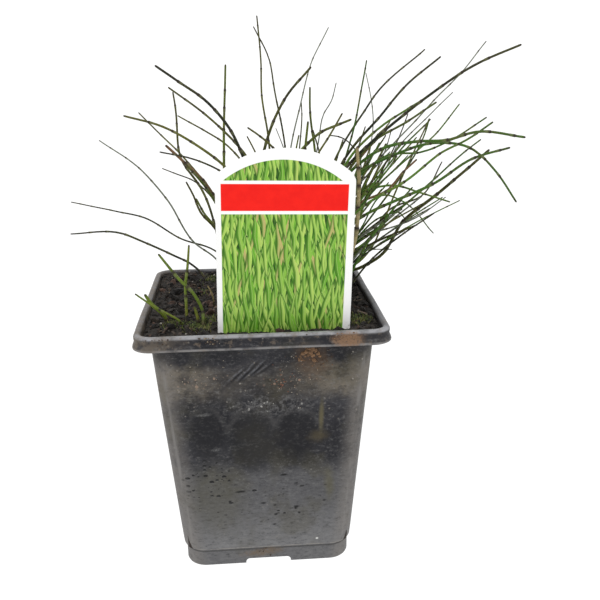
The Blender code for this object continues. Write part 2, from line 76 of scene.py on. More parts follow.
# --------------------------------------------------------------------- stems
# name, radius, tone, root on the compost (x, y), points the stem passes
# through on its way to the tip (x, y, z)
STEMS = [
    ("stem_left_01", 0.50, "dark", (-4, -7), [(-5, -18, 157), (-9, -20, 166), (-15, -22, 174), (-25, -26, 182), (-32, -28, 187)]),
    ("stem_left_02", 0.48, "dark", (-2, 4), [(-4, 9, 154), (-12, 11, 163), (-21, 12, 171), (-32, 14, 179)]),
    ("stem_left_03", 0.42, "dark", (-8, 16), [(-6, 29, 150), (-12, 32, 156), (-20, 34, 161), (-31, 38, 167)]),
    ("stem_left_04", 0.50, "olive", (-8, 9), [(-12, 6, 150), (-11, 5, 171), (-10, 4, 187)]),
    ("stem_left_05", 0.44, "dark", (-10, -12), [(-11, -25, 154), (-19, -28, 161), (-30, -32, 168), (-42, -36, 172)]),
    ("stem_left_06", 0.40, "dark", (-5, 24), [(-18, 34, 135), (-28, 39, 148), (-40, 44, 160), (-48, 47, 168)]),
    ("stem_left_07", 0.45, "dark", (-13, 7), [(-22, 15, 141), (-29, 17, 152), (-30, 20, 168), (-31, 22, 177)]),
    ("stem_left_08", 0.34, "dark", (-5, -17), [(-13, -20, 152), (-21, -21, 156), (-33, -22, 159)]),
    ("stem_left_09", 0.62, "brown", (-6, 1), [(-16, -5, 141), (-19, -7, 146), (-27, -9, 155), (-32, -10, 160)]),
    ("stem_left_10", 0.34, "dark", (-12, 27), [(-19, 40, 133), (-26, 44, 139), (-34, 47, 142), (-40, 50, 144)]),
    ("stem_left_11", 0.42, "dark", (-10, -4), [(-16, -11, 130), (-21, -14, 137), (-23, -15, 143), (-25, -17, 148)]),
    ("stem_left_12", 0.50, "olive", (-14, 13), [(-17, 16, 125), (-21, 17, 130), (-24, 18, 136)]),
    ("stem_left_13", 0.34, "grey", (-12, 17), [(-17, 20, 110), (-26, 22, 117), (-36, 26, 134), (-46, 29, 146), (-63, 34, 158)]),
    ("stem_left_14", 0.36, "dark", (-6, 20), [(-18, 28, 112), (-32, 34, 116), (-48, 42, 124), (-61, 48, 126), (-82, 57, 129)]),
    ("stem_left_15", 0.44, "dark", (-23, 33), [(-28, 35, 104), (-36, 37, 108), (-50, 41, 114), (-59, 44, 117), (-82, 50, 116)]),
    ("stem_left_16", 0.50, "olive", (-2, -3), [(-15, -11, 139), (-21, -14, 149), (-25, -15, 154)]),
    ("stem_top_01", 0.38, "dark", (2, 6), [(5, 9, 162), (3, 10, 176), (3, 11, 188), (2, 12, 204)]),
    ("stem_top_02", 0.36, "dark", (6, 14), [(12, 22, 156), (9, 25, 175), (6, 28, 191), (1, 30, 201)]),
    ("stem_top_03", 0.55, "dark", (0, -8), [(3, -15, 159), (7, -17, 170), (11, -18, 177), (19, -20, 186)]),
    ("stem_top_04", 0.30, "grey", (11, 18), [(15, 30, 154), (20, 34, 173), (24, 38, 186), (32, 42, 201)]),
    ("stem_top_05", 0.48, "olive", (16, 3), [(22, -2, 156), (20, -3, 171), (20, -4, 179)]),
    ("stem_top_06", 0.55, "olive", (12, -10), [(17, -17, 159), (18, -18, 168)]),
    ("stem_top_07", 0.34, "dark", (9, 24), [(19, 33, 154), (20, 35, 165), (20, 36, 172)]),
    ("stem_top_08", 0.42, "dark", (13, 9), [(6, -19, 159), (1, -24, 164), (-3, -27, 167)]),
    ("stem_top_09", 0.40, "dark", (10, -15), [(20, -34, 159), (23, -36, 164), (27, -40, 172)]),
    ("stem_top_10", 0.60, "olive", (8, -3), [(17, -9, 158), (24, -11, 164), (29, -11, 166), (34, -12, 168)]),
    ("stem_right_01", 0.48, "dark", (16, -4), [(33, -19, 154), (46, -25, 167), (56, -31, 176), (71, -39, 187), (82, -44, 192)]),
    ("stem_right_02", 0.30, "grey", (20, 17), [(41, 9, 144), (55, 4, 160), (68, 0, 175), (76, -3, 184), (83, -6, 194)]),
    ("stem_right_03", 0.42, "dark", (14, 12), [(35, 24, 154), (44, 27, 167), (51, 30, 176), (71, 36, 192)]),
    ("stem_right_04", 0.52, "dark", (18, 6), [(37, 10, 155), (49, 11, 168), (59, 13, 179), (72, 14, 189)]),
    ("stem_right_05", 0.40, "green", (17, 17), [(37, 18, 154), (39, 18, 161), (41, 18, 171), (44, 18, 188)]),
    ("stem_right_06", 0.50, "green", (22, -2), [(37, -6, 157), (47, -7, 166), (55, -8, 171), (60, -8, 174)]),
    ("stem_right_07", 0.52, "olive", (21, 1), [(39, -1, 154), (44, -1, 159), (56, -2, 166), (67, -2, 173)]),
    ("stem_right_08", 0.30, "grey", (24, 21), [(51, 28, 143), (60, 29, 154), (75, 32, 168), (83, 34, 175)]),
    ("stem_right_09", 0.40, "green", (24, 12), [(43, 15, 134), (56, 17, 146), (73, 19, 160), (82, 20, 171)]),
    ("stem_right_10", 0.36, "green", (20, -14), [(35, -21, 139), (44, -25, 152), (49, -27, 159), (58, -30, 169)]),
    ("stem_right_11", 0.40, "green", (22, 14), [(39, 3, 145), (50, -1, 154), (61, -4, 155), (72, -8, 160), (83, -12, 168)]),
    ("stem_right_12", 0.42, "green", (18, -18), [(34, -28, 138), (50, -35, 150), (60, -39, 159), (68, -43, 164), (74, -46, 169)]),
    ("stem_right_13", 0.50, "green", (19, 3), [(35, -21, 153), (44, -28, 160), (53, -33, 162), (61, -40, 163), (69, -46, 166), (81, -56, 165)]),
    ("stem_right_14", 0.46, "green", (28, 7), [(36, -14, 149), (47, -21, 156), (60, -29, 161), (70, -36, 160), (77, -43, 153), (82, -50, 144)]),
    ("stem_right_15", 0.50, "green", (23, -6), [(36, -17, 133), (50, -22, 141), (61, -27, 147), (72, -33, 156), (83, -38, 160)]),
    ("stem_right_16", 0.62, "dark", (29, 28), [(43, 22, 104), (51, 18, 110), (58, 9, 126), (70, -2, 140), (83, -17, 157)]),
    ("stem_right_17", 0.40, "dark", (30, 34), [(42, 33, 102), (50, 33, 110), (54, 32, 120), (60, 31, 136), (72, 28, 165)]),
    ("stem_right_18", 0.42, "green", (30, 8), [(39, -1, 140), (45, -2, 142), (51, -4, 143), (62, -6, 140), (72, -9, 137)]),
    ("stem_right_19", 0.42, "dark", (21, 27), [(43, 32, 107), (59, 38, 126), (74, 42, 131), (83, 46, 145)]),
    ("stem_right_20", 0.30, "grey", (24, 31), [(44, 44, 104), (49, 47, 105), (64, 57, 103)]),
    ("stem_right_21", 0.34, "grey", (27, 16), [(42, 21, 118), (53, 23, 120), (67, 26, 124), (81, 30, 132)]),
    ("stem_right_22", 0.34, "green", (22, 23), [(44, 29, 119), (55, 33, 133), (63, 35, 130), (79, 40, 114)]),
    ("stem_right_23", 0.75, "straw", (28, -17), [(35, -21, 131), (35, -23, 141), (35, -24, 148), (34, -26, 160)]),
    ("stem_right_24", 0.50, "brown", (25, -2), [(39, -5, 137), (49, -7, 142), (54, -7, 148), (59, -8, 153)]),
    ("stem_right_25", 0.55, "dark", (27, 21), [(40, 20, 112), (45, 20, 115), (49, 20, 119)]),
    ("stem_front_01", 0.55, "bright", (-27, -22), [(-27, -22, 106), (-27, -21, 111), (-26, -20, 117), (-25, -20, 126)]),
    ("stem_front_02", 0.62, "bright", (-21, -27), [(-21, -25, 102), (-24, -24, 109), (-29, -22, 114), (-36, -20, 123)]),
    ("stem_front_03", 0.45, "bright", (-28, -27), [(-29, -30, 101), (-37, -32, 107), (-43, -35, 113)]),
    ("stem_front_04", 0.75, "bright", (-34, -22), [(-35, -23, 101), (-39, -25, 106), (-41, -26, 110)]),
    ("stem_front_05", 0.60, "bright", (-23, -26), [(-23, -26, 101), (-24, -26, 105)]),
]

# Thin shoots between the main stems, too fine to matter to the CAD.
EXTRA = [
    ("thin_top_01", 0.30, "grey", (18, 22), [(28, 43, 156), (30, 44, 166), (34, 46, 172), (36, 48, 179)]),
    ("thin_top_02", 0.38, "dark", (3, 10), [(0, 8, 155), (-3, 8, 161)]),
    ("thin_top_03", 0.28, "grey", (22, 24), [(49, 40, 147), (51, 41, 164), (50, 43, 174), (48, 44, 183)]),
    ("thin_top_04", 0.36, "dark", (20, 8), [(40, 3, 146), (46, 3, 161), (50, 2, 165), (51, 2, 167)]),
    ("thin_top_05", 0.34, "dark", (13, 5), [(24, 6, 156), (22, 6, 163)]),
    ("thin_top_06", 0.40, "olive", (9, 2), [(15, -1, 157), (16, -2, 162)]),
    ("thin_top_07", 0.26, "grey", (6, 20), [(12, 29, 154), (9, 30, 162)]),
    ("thin_top_08", 0.32, "dark", (15, 14), [(39, 16, 155), (36, 16, 158), (33, 16, 159.4), (29, 16, 160)]),
    ("thin_left_01", 0.28, "straw", (-18, -4), [(-18, -6, 102), (-20, -6, 107)]),
    ("thin_right_01", 0.38, "brown", (21, 6), [(45, 8, 157), (48, 8, 160), (50, 8, 163)]),
    ("thin_right_02", 0.34, "dark", (19, -3), [(39, -6, 162), (40, -6, 165)]),
    ("thin_right_03", 0.30, "grey", (24, 18), [(53, 16, 158), (54, 16, 162)]),
    ("thin_right_04", 0.32, "dark", (25, 16), [(59, 14, 165), (60, 14, 168)]),
    ("thin_right_05", 0.26, "grey", (26, 14), [(48, 11, 142), (51, 11, 147), (55, 10, 156)]),
    ("thin_right_06", 0.38, "dark", (24, 4), [(41, -2, 138), (44, -3, 146), (47, -4, 152)]),
    ("thin_right_07", 0.38, "green", (26, 9), [(55, 2, 145), (61, 1, 155), (64, 0, 163), (65, 0, 167)]),
    ("thin_right_08", 0.38, "green", (27, 4), [(70, -7, 149), (77, -9, 156), (82, -10, 160)]),
    ("thin_right_10", 0.34, "green", (28, 0), [(48, -14, 134), (51, -16, 135), (53, -18, 133)]),
]


# -------------------------------------------------------------- mesh helpers
def smoothstep(a, b, v):
    t = np.clip((v - a) / (b - a), 0.0, 1.0)
    return t * t * (3 - 2 * t)


def new_object(name, verts, faces, mat, colors=None, smooth=True, uv=None):
    """A mesh object from millimetre points. colors is one RGB per point."""
    mesh = bpy.data.meshes.new(name)
    pts = np.asarray(verts, float) * MM
    mesh.from_pydata(pts.tolist(), [], faces)
    mesh.validate()
    mesh.update()
    if smooth:
        mesh.shade_smooth()
    if colors is not None:
        layer = mesh.color_attributes.new("tint", "FLOAT_COLOR", "POINT")
        rgba = np.ones((len(pts), 4), np.float32)
        rgba[:, :3] = np.asarray(colors, np.float32)
        layer.data.foreach_set("color", rgba.ravel())
    if uv is not None:
        layer = mesh.uv_layers.new(name="print")
        index = np.zeros(len(mesh.loops), np.int32)
        mesh.loops.foreach_get("vertex_index", index)
        layer.data.foreach_set("uv", np.asarray(uv, np.float32)[index].ravel())
    obj = bpy.data.objects.new(name, mesh)
    bpy.context.scene.collection.objects.link(obj)
    mesh.materials.append(mat)
    return obj


def outward(obj):
    bm = bmesh.new()
    bm.from_mesh(obj.data)
    bmesh.ops.recalc_face_normals(bm, faces=bm.faces)
    bm.to_mesh(obj.data)
    bm.free()


class Heap:
    """Collects many small closed solids into one mesh."""

    def __init__(self):
        self.verts, self.faces, self.colors, self.n = [], [], [], 0

    def add(self, verts, faces, color):
        verts = np.asarray(verts, float)
        self.verts.append(verts)
        self.faces.extend([tuple(i + self.n for i in f) for f in faces])
        color = np.asarray(color, float)
        if color.ndim == 1:
            color = np.tile(color, (len(verts), 1))
        self.colors.append(color)
        self.n += len(verts)

    def build(self, name, mat, smooth=True):
        return new_object(name, np.vstack(self.verts), self.faces, mat,
                          np.vstack(self.colors), smooth)


def ico(level):
    bm = bmesh.new()
    bmesh.ops.create_icosphere(bm, subdivisions=level, radius=1.0)
    verts = np.array([v.co[:] for v in bm.verts])
    faces = [tuple(v.index for v in f.verts) for f in bm.faces]
    bm.free()
    return verts, faces


ICO1, ICO2 = ico(1), ico(2)


def spin(rand):
    """A random rotation, as a 3 by 3 array."""
    axis = Vector((rand.gauss(0, 1), rand.gauss(0, 1), rand.gauss(0, 1) + 1e-3)).normalized()
    return np.array(Matrix.Rotation(rand.uniform(0, 2 * math.pi), 3, axis))


def crumb(rand, centre, size, stretch=(1, 1, 1), fine=False, rough=0.28):
    """A lumpy grain: an icosphere pushed about by noise."""
    verts, faces = ICO2 if fine else ICO1
    seed = Vector((rand.uniform(-50, 50), rand.uniform(-50, 50), rand.uniform(-50, 50)))
    push = np.array([1 + rough * 2 * noise.noise(Vector(v) * 1.3 + seed) +
                     rand.uniform(-rough, rough) * 0.4 for v in verts])
    shaped = verts * push[:, None] * np.array(stretch) * size
    return shaped @ spin(rand).T + np.array(centre), faces


# ---------------------------------------------------------- material helpers
class Nodes:
    """Short hand for writing a material's nodes."""

    def __init__(self, name):
        self.mat = bpy.data.materials.new(name)
        self.mat.use_nodes = True
        self.tree = self.mat.node_tree
        self.bsdf = self.tree.nodes["Principled BSDF"]
        coord = self.tree.nodes.new("ShaderNodeTexCoord")
        self.object = coord.outputs["Object"]
        # object space in millimetres
        self.mm = self.vmath("SCALE", self.object, scale=1000.0)
        self.x, self.y, self.z = self.split(self.mm)

    def put(self, socket, value):
        if isinstance(value, bpy.types.NodeSocket):
            self.tree.links.new(value, socket)
        elif isinstance(value, (tuple, list)) and len(value) == 3 and socket.type == "RGBA":
            socket.default_value = (*value, 1.0)
        else:
            socket.default_value = value

    def vmath(self, op, a, b=None, scale=None):
        n = self.tree.nodes.new("ShaderNodeVectorMath")
        n.operation = op
        self.put(n.inputs[0], a)
        if b is not None:
            self.put(n.inputs[1], b)
        if scale is not None:
            self.put(n.inputs["Scale"], scale)
        return n.outputs["Value"] if op in ("LENGTH", "DISTANCE", "DOT_PRODUCT") else n.outputs["Vector"]

    def split(self, v):
        n = self.tree.nodes.new("ShaderNodeSeparateXYZ")
        self.put(n.inputs[0], v)
        return n.outputs[0], n.outputs[1], n.outputs[2]

    def join(self, x, y, z):
        n = self.tree.nodes.new("ShaderNodeCombineXYZ")
        for s, v in zip(n.inputs, (x, y, z)):
            self.put(s, v)
        return n.outputs[0]

    def m(self, op, a, b=None, c=None, clamp=False):
        n = self.tree.nodes.new("ShaderNodeMath")
        n.operation = op
        n.use_clamp = clamp
        for s, v in zip(n.inputs, (a, b, c)):
            if v is not None:
                self.put(s, v)
        return n.outputs[0]

    def fit(self, v, a, b, to0=0.0, to1=1.0, smooth=True):
        n = self.tree.nodes.new("ShaderNodeMapRange")
        n.interpolation_type = "SMOOTHSTEP" if smooth else "LINEAR"
        for i, value in enumerate((v, a, b, to0, to1)):
            self.put(n.inputs[i], value)
        return n.outputs[0]

    def noise(self, scale, detail=3.0, rough=0.55, distort=0.0, vector=None, stretch=None, shift=None):
        v = self.mm if vector is None else vector
        if shift is not None:
            v = self.vmath("ADD", v, shift)
        if stretch is not None:
            v = self.vmath("MULTIPLY", v, stretch)
        n = self.tree.nodes.new("ShaderNodeTexNoise")
        self.put(n.inputs["Vector"], v)
        n.inputs["Scale"].default_value = scale
        n.inputs["Detail"].default_value = detail
        n.inputs["Roughness"].default_value = rough
        n.inputs["Distortion"].default_value = distort
        return n.outputs["Fac"]

    def cells(self, scale, feature="F1", out="Distance", vector=None, random=1.0):
        n = self.tree.nodes.new("ShaderNodeTexVoronoi")
        n.feature = feature
        self.put(n.inputs["Vector"], self.mm if vector is None else vector)
        n.inputs["Scale"].default_value = scale
        n.inputs["Randomness"].default_value = random
        return n.outputs[out]

    def dots(self, scale, small, large, vector=None, ragged=0.10):
        """Scattered spots of mixed sizes with ragged outlines."""
        v = self.mm if vector is None else vector
        n = self.tree.nodes.new("ShaderNodeTexVoronoi")
        self.put(n.inputs["Vector"], v)
        n.inputs["Scale"].default_value = scale
        pick, _, _ = self.split(n.outputs["Color"])
        size = self.m("ADD", small, self.m("MULTIPLY", self.m("POWER", pick, 3.0), large - small))
        torn = self.m("MULTIPLY", self.m("SUBTRACT", self.noise(3.2, 3, 0.7), 0.5), ragged * 2)
        gap = self.m("SUBTRACT", size, self.m("ADD", n.outputs["Distance"], torn))
        return self.fit(gap, -0.02, 0.05)

    def mix(self, fac, a, b, mode="MIX"):
        n = self.tree.nodes.new("ShaderNodeMix")
        n.data_type = "RGBA"
        n.blend_type = mode
        self.put(n.inputs["Factor"], fac)
        self.put([s for s in n.inputs if s.name == "A" and s.type == "RGBA"][0], a)
        self.put([s for s in n.inputs if s.name == "B" and s.type == "RGBA"][0], b)
        return [s for s in n.outputs if s.type == "RGBA"][0]

    def attribute(self, name, out="Color"):
        n = self.tree.nodes.new("ShaderNodeAttribute")
        n.attribute_name = name
        return n.outputs[out]

    def bump(self, height, strength, distance, normal=None):
        n = self.tree.nodes.new("ShaderNodeBump")
        n.inputs["Strength"].default_value = strength
        n.inputs["Distance"].default_value = distance
        self.put(n.inputs["Height"], height)
        if normal is not None:
            self.put(n.inputs["Normal"], normal)
        return n.outputs["Normal"]

    def blob(self, spot, size, angle=0.0, edge=0.5, wobble=0.0, vector=None):
        """1 inside an ellipse on the pot's front, 0 outside, with a soft edge.
        spot is (x, z), size its half axes."""
        a, b = (self.x, self.z) if vector is None else vector
        dx = self.m("SUBTRACT", a, spot[0])
        dz = self.m("SUBTRACT", b, spot[1])
        c, s = math.cos(angle), math.sin(angle)
        u = self.m("ADD", self.m("MULTIPLY", dx, c / size[0]), self.m("MULTIPLY", dz, s / size[0]))
        v = self.m("ADD", self.m("MULTIPLY", dx, -s / size[1]), self.m("MULTIPLY", dz, c / size[1]))
        d = self.m("SQRT", self.m("ADD", self.m("MULTIPLY", u, u), self.m("MULTIPLY", v, v)))
        if wobble:
            d = self.m("ADD", d, self.m("MULTIPLY", self.m("SUBTRACT", self.wobble_noise, 0.5), wobble))
        return self.fit(d, 1.0 + edge, 1.0 - edge)


# ----------------------------------------------------------------- materials
def pot_material():
    """Black moulded plastic, dusty below with a painted reflection of the floor, muddy under the rim, with painted
    highlights on the rim crest, corners and foot step and painted shade under the step.
    """
    n = Nodes("pot_plastic")
    front = n.fit(n.y, -20.0, -30.0)
    n.wobble_noise = n.noise(0.45, 4, 0.6)
    cloud = n.noise(0.045, 4, 0.6)
    blotch = n.noise(0.12, 5, 0.7, shift=(3, 8, 2))
    streak = n.noise(0.5, 3, 0.6, stretch=(1.0, 1.0, 0.12))
    grain = n.noise(0.9, 5, 0.75, stretch=(0.45, 0.45, 1.0))
    fine = n.noise(1.6, 5, 0.7)
    grit = n.noise(4.5, 2, 0.6)

    color = n.mix(n.fit(cloud, 0.3, 0.7), (0.0068, 0.0068, 0.0092), (0.0145, 0.0145, 0.0185))
    # paler lower half: dust plus a painted reflection of the pale floor, a clear step up, strongest at the foot
    level = n.m("ADD", n.z, n.m("MULTIPLY", n.m("SUBTRACT", blotch, 0.5), 14.0))
    dust_and_floor_reflection = n.m("ADD", n.fit(level, 50.0, 38.0, 0.0, 0.45), n.fit(level, 36.0, 4.0, 0.0, 0.55))
    dust_and_floor_reflection = n.m("MULTIPLY", n.m("MULTIPLY", dust_and_floor_reflection, n.fit(grain, 0.25, 0.75, 0.66, 1.12)), n.fit(n.z, 6.8, 7.6, 0.72, 1.0))
    color = n.mix(n.m("MULTIPLY", dust_and_floor_reflection, 0.90, clamp=True), color, (0.176, 0.175, 0.178))
    # haze over the middle, wiped off in places
    haze = n.m("MULTIPLY", n.fit(n.noise(0.07, 4, 0.65, shift=(31, 3, 9)), 0.40, 0.66), n.fit(grain, 0.3, 0.7, 0.4, 1.0))
    color = n.mix(n.m("MULTIPLY", haze, 0.34), color, (0.078, 0.077, 0.084))
    # dried, brownish dust band under the rim, strongest at both sides
    rag = n.m("ADD", n.z, n.m("MULTIPLY", n.m("SUBTRACT", n.noise(0.10, 4, 0.65, shift=(40, 0, 0)), 0.5), 12.0))
    band = n.m("MULTIPLY", n.fit(rag, 71.0, 78.0), n.fit(rag, 88.5, 84.0))
    sides = n.fit(n.m("ABSOLUTE", n.m("ADD", n.x, 1.0)), 8.0, 30.0, 0.28, 1.0)
    band = n.m("MULTIPLY", n.m("MULTIPLY", band, sides), n.fit(n.noise(0.16, 4, 0.65, shift=(0, 0, 17)), 0.30, 0.58, 0.35, 1.0))
    band = n.m("MULTIPLY", band, n.fit(grain, 0.25, 0.65, 0.55, 1.0))
    color = n.mix(n.m("MULTIPLY", band, 0.80), color, (0.165, 0.142, 0.110))
    # paler, browner side edges
    half = n.m("ADD", 32.2, n.m("MULTIPLY", n.z, 0.076))
    border = n.m("SUBTRACT", half, n.m("ABSOLUTE", n.x))
    wide = n.m("MULTIPLY", n.m("MULTIPLY", n.fit(border, 10.0, 3.5), n.fit(blotch, 0.28, 0.60, 0.45, 1.0)), n.fit(n.z, 94.0, 84.0, 0.25, 1.0))
    color = n.mix(n.m("MULTIPLY", n.m("MULTIPLY", wide, front), 0.66), color, (0.165, 0.152, 0.140))
    # olive stains
    stain = n.m("MULTIPLY", n.fit(n.noise(0.055, 3, 0.6, shift=(9, 3, 71)), 0.50, 0.66), 0.34)
    color = n.mix(stain, color, (0.050, 0.044, 0.022))
    # fine dust, pinholes and scuffs
    rough_dust = n.noise(1.0, 6, 0.8, stretch=(0.6, 0.6, 1.0), shift=(7, 19, 3))
    color = n.mix(n.m("MULTIPLY", n.fit(rough_dust, 0.50, 0.68), 0.42), color, (0.165, 0.163, 0.160))
    color = n.mix(n.m("MULTIPLY", n.fit(rough_dust, 0.44, 0.30), 0.55), color, (0.006, 0.006, 0.007))
    color = n.mix(n.m("MULTIPLY", n.fit(fine, 0.52, 0.80), 0.30), color, (0.10, 0.098, 0.094))
    color = n.mix(n.m("MULTIPLY", n.fit(grain, 0.46, 0.26), 0.50), color, (0.005, 0.005, 0.006))
    near_top = n.m("MULTIPLY", n.fit(n.z, 60.0, 74.0, 0.25, 1.0), n.fit(n.noise(0.10, 2, 0.5, shift=(5, 5, 5)), 0.44, 0.60))
    specks = n.m("MULTIPLY", n.dots(0.60, 0.03, 0.30, ragged=0.16), near_top)
    color = n.mix(n.m("MULTIPLY", specks, 0.65), color, (0.26, 0.24, 0.21))

    # marks on the front face
    def mark(fac, tint, share):
        nonlocal color
        color = n.mix(n.m("MULTIPLY", n.m("MULTIPLY", fac, front), share), color, tint)

    # dark wiped arches left by fingers, each with a pale upper edge
    for x, z, a, b in ((-21.3, 59.0, 6.4, 10.5), (-4.5, 56.0, 8.6, 12.5), (11.5, 57.0, 8.5, 10.5)):
        shell = n.m("SUBTRACT", n.blob((x, z), (a * 1.10, b * 1.10), 0.0, 0.16, 0.45), n.blob((x, z), (a, b), 0.0, 0.12, 0.45), clamp=True)
        mark(n.m("MULTIPLY", shell, n.fit(n.z, z, z + 7.0)), (0.085, 0.082, 0.080), 0.55)
        mark(n.m("MULTIPLY", n.blob((x, z), (a, b), 0.0, 0.35, 0.6), n.fit(grain, 0.25, 0.6, 0.6, 1.0)), (0.0062, 0.0061, 0.0076), 0.66)
    # a patch of dry brush-like scratches, light strokes beside dark ones
    for k in range(9):
        x, z, turn = -10.6 + 1.25 * k, 82.6 + 0.42 * k + 0.9 * math.sin(2.1 * k), 0.75 + 0.13 * math.sin(3.7 * k)
        long = 3.0 + 0.8 * math.sin(1.7 * k + 1.0)
        mark(n.m("MULTIPLY", n.blob((x + 0.7, z - 0.5), (long, 0.55), turn, 0.7, 1.6), n.fit(fine, 0.30, 0.50)), (0.0055, 0.0055, 0.0075), 0.75)
        mark(n.m("MULTIPLY", n.blob((x, z), (long, 0.34), turn, 0.8, 1.6), n.fit(fine, 0.38, 0.60)), (0.105, 0.108, 0.118), 0.66)
    # crusty grey scrape under the dust band
    scrape = n.m("MULTIPLY", n.blob((2.5, 70.5), (15.0, 3.8), 0.0, 0.6, 1.4), n.fit(n.noise(0.7, 5, 0.75), 0.46, 0.62))
    mark(scrape, (0.120, 0.118, 0.118), 0.62)
    dots = n.m("MULTIPLY", n.blob((2.5, 70.0), (13.0, 2.4), -0.02, 0.5, 0.6), n.dots(0.9, 0.06, 0.42, ragged=0.2))
    mark(dots, (0.34, 0.33, 0.31), 0.75)
    mark(n.m("MULTIPLY", n.blob((-22.0, 81.0), (9.5, 2.6), 0.05, 0.6, 1.0), n.dots(0.8, 0.08, 0.52, ragged=0.24)), (0.26, 0.19, 0.14), 0.7)
    mark(n.m("MULTIPLY", n.blob((9.0, 80.0), (9.5, 2.4), 0.05, 0.6, 1.0), n.dots(0.8, 0.08, 0.50, ragged=0.24)), (0.25, 0.165, 0.12), 0.7)
    # short pale lines and an olive runnel
    for x, z, a in ((-22.0, 67.6, 2.2), (-18.2, 52.8, 1.6)):
        mark(n.m("MULTIPLY", n.blob((x, z), (a, 0.55), 0.05, 0.8, 1.8), n.fit(grit, 0.40, 0.62)), (0.17, 0.17, 0.168), 0.72)
    mark(n.blob((20.4, 65.0), (0.75, 5.6), -0.03, 0.8, 0.9), (0.105, 0.090, 0.045), 0.72)
    mark(n.blob((19.4, 57.0), (3.2, 2.2), 0.2, 0.7, 1.2), (0.060, 0.048, 0.026), 0.62)
    mark(n.blob((23.6, 36.0), (1.6, 6.0), 0.05, 0.8, 1.0), (0.090, 0.082, 0.045), 0.50)
    mark(n.blob((17.0, 88.0), (5.0, 6.5), 0.3, 0.6, 1.6), (0.095, 0.056, 0.030), 0.45)
    mark(n.blob((-19.0, 30.0), (9.0, 13.0), 0.1, 0.7, 0.9), (0.070, 0.066, 0.046), 0.42)
    # dark wet marks, dense at the lower left, each with a small painted highlight (glint) beside it
    drops = n.dots(0.62, 0.10, 0.52, vector=n.vmath("MULTIPLY", n.mm, (0.72, 1.0, 1.30)), ragged=0.16)
    glint = n.dots(0.62, 0.03, 0.34, vector=n.vmath("ADD", n.vmath("MULTIPLY", n.mm, (0.72, 1.0, 1.30)), (0.0, 0.0, 0.45)), ragged=0.10)
    zone = n.m("MAXIMUM", n.blob((-21.0, 40.0), (9.5, 10.0), -0.2, 0.45, 0.9), n.m("MULTIPLY", n.blob((-2.0, 29.0), (26.0, 9.0), 0.0, 0.5, 1.2), n.fit(n.noise(0.16, 2, 0.5, shift=(2, 2, 9)), 0.50, 0.60)))
    mark(n.m("MULTIPLY", glint, zone), (0.16, 0.16, 0.165), 0.55)
    mark(n.m("MULTIPLY", drops, zone), (0.0035, 0.0035, 0.004), 0.92)
    for x, z, a, b in ((-1.6, 28.4, 0.9, 0.45), (2.9, 27.2, 0.6, 0.35), (3.2, 23.0, 0.6, 0.4), (2.7, 18.4, 1.0, 0.45), (11.0, 26.0, 0.8, 0.5),
                       (6.5, 40.7, 1.3, 0.4), (21.6, 28.3, 0.7, 0.5), (12.2, 23.2, 0.5, 0.45), (-10.0, 34.0, 1.6, 0.4)):
        mark(n.blob((x, z), (a, b), 0.1, 0.6, 2.2), (0.0035, 0.0035, 0.004), 0.88)
    mark(n.blob((19.0, 10.6), (0.5, 0.4), 0.0, 0.4, 0.3), (0.55, 0.55, 0.53), 0.9)
    # painted highlight streaks down both rounded corners of the front
    corner_highlight = n.m("MULTIPLY", n.fit(n.m("ABSOLUTE", n.m("SUBTRACT", border, 3.6)), 1.3, 0.1), n.m("MULTIPLY", n.fit(streak, 0.40, 0.64), n.fit(n.z, 92.0, 86.0)))
    mark(corner_highlight, (0.180, 0.172, 0.165), 0.62)
    # painted highlight along the edge of the foot's step, painted shade in the recess just under it, and dirt lodged
    # over the notch
    step = n.m("MULTIPLY", n.fit(n.m("ABSOLUTE", n.m("SUBTRACT", n.z, 7.7)), 0.7, 0.1), n.fit(n.noise(0.3, 3, 0.6), 0.34, 0.58))
    color = n.mix(n.m("MULTIPLY", step, 0.72), color, (0.27, 0.25, 0.23))
    # painted shade just under the step's edge
    under = n.fit(n.m("ABSOLUTE", n.m("SUBTRACT", n.z, 6.6)), 0.6, 0.1)
    color = n.mix(n.m("MULTIPLY", under, 0.60), color, (0.030, 0.029, 0.028))
    lodged = n.m("MULTIPLY", n.blob((-2.0, 5.0), (7.0, 1.6), 0.10, 0.6, 0.9), n.fit(fine, 0.35, 0.55))
    mark(lodged, (0.130, 0.092, 0.058), 0.75)
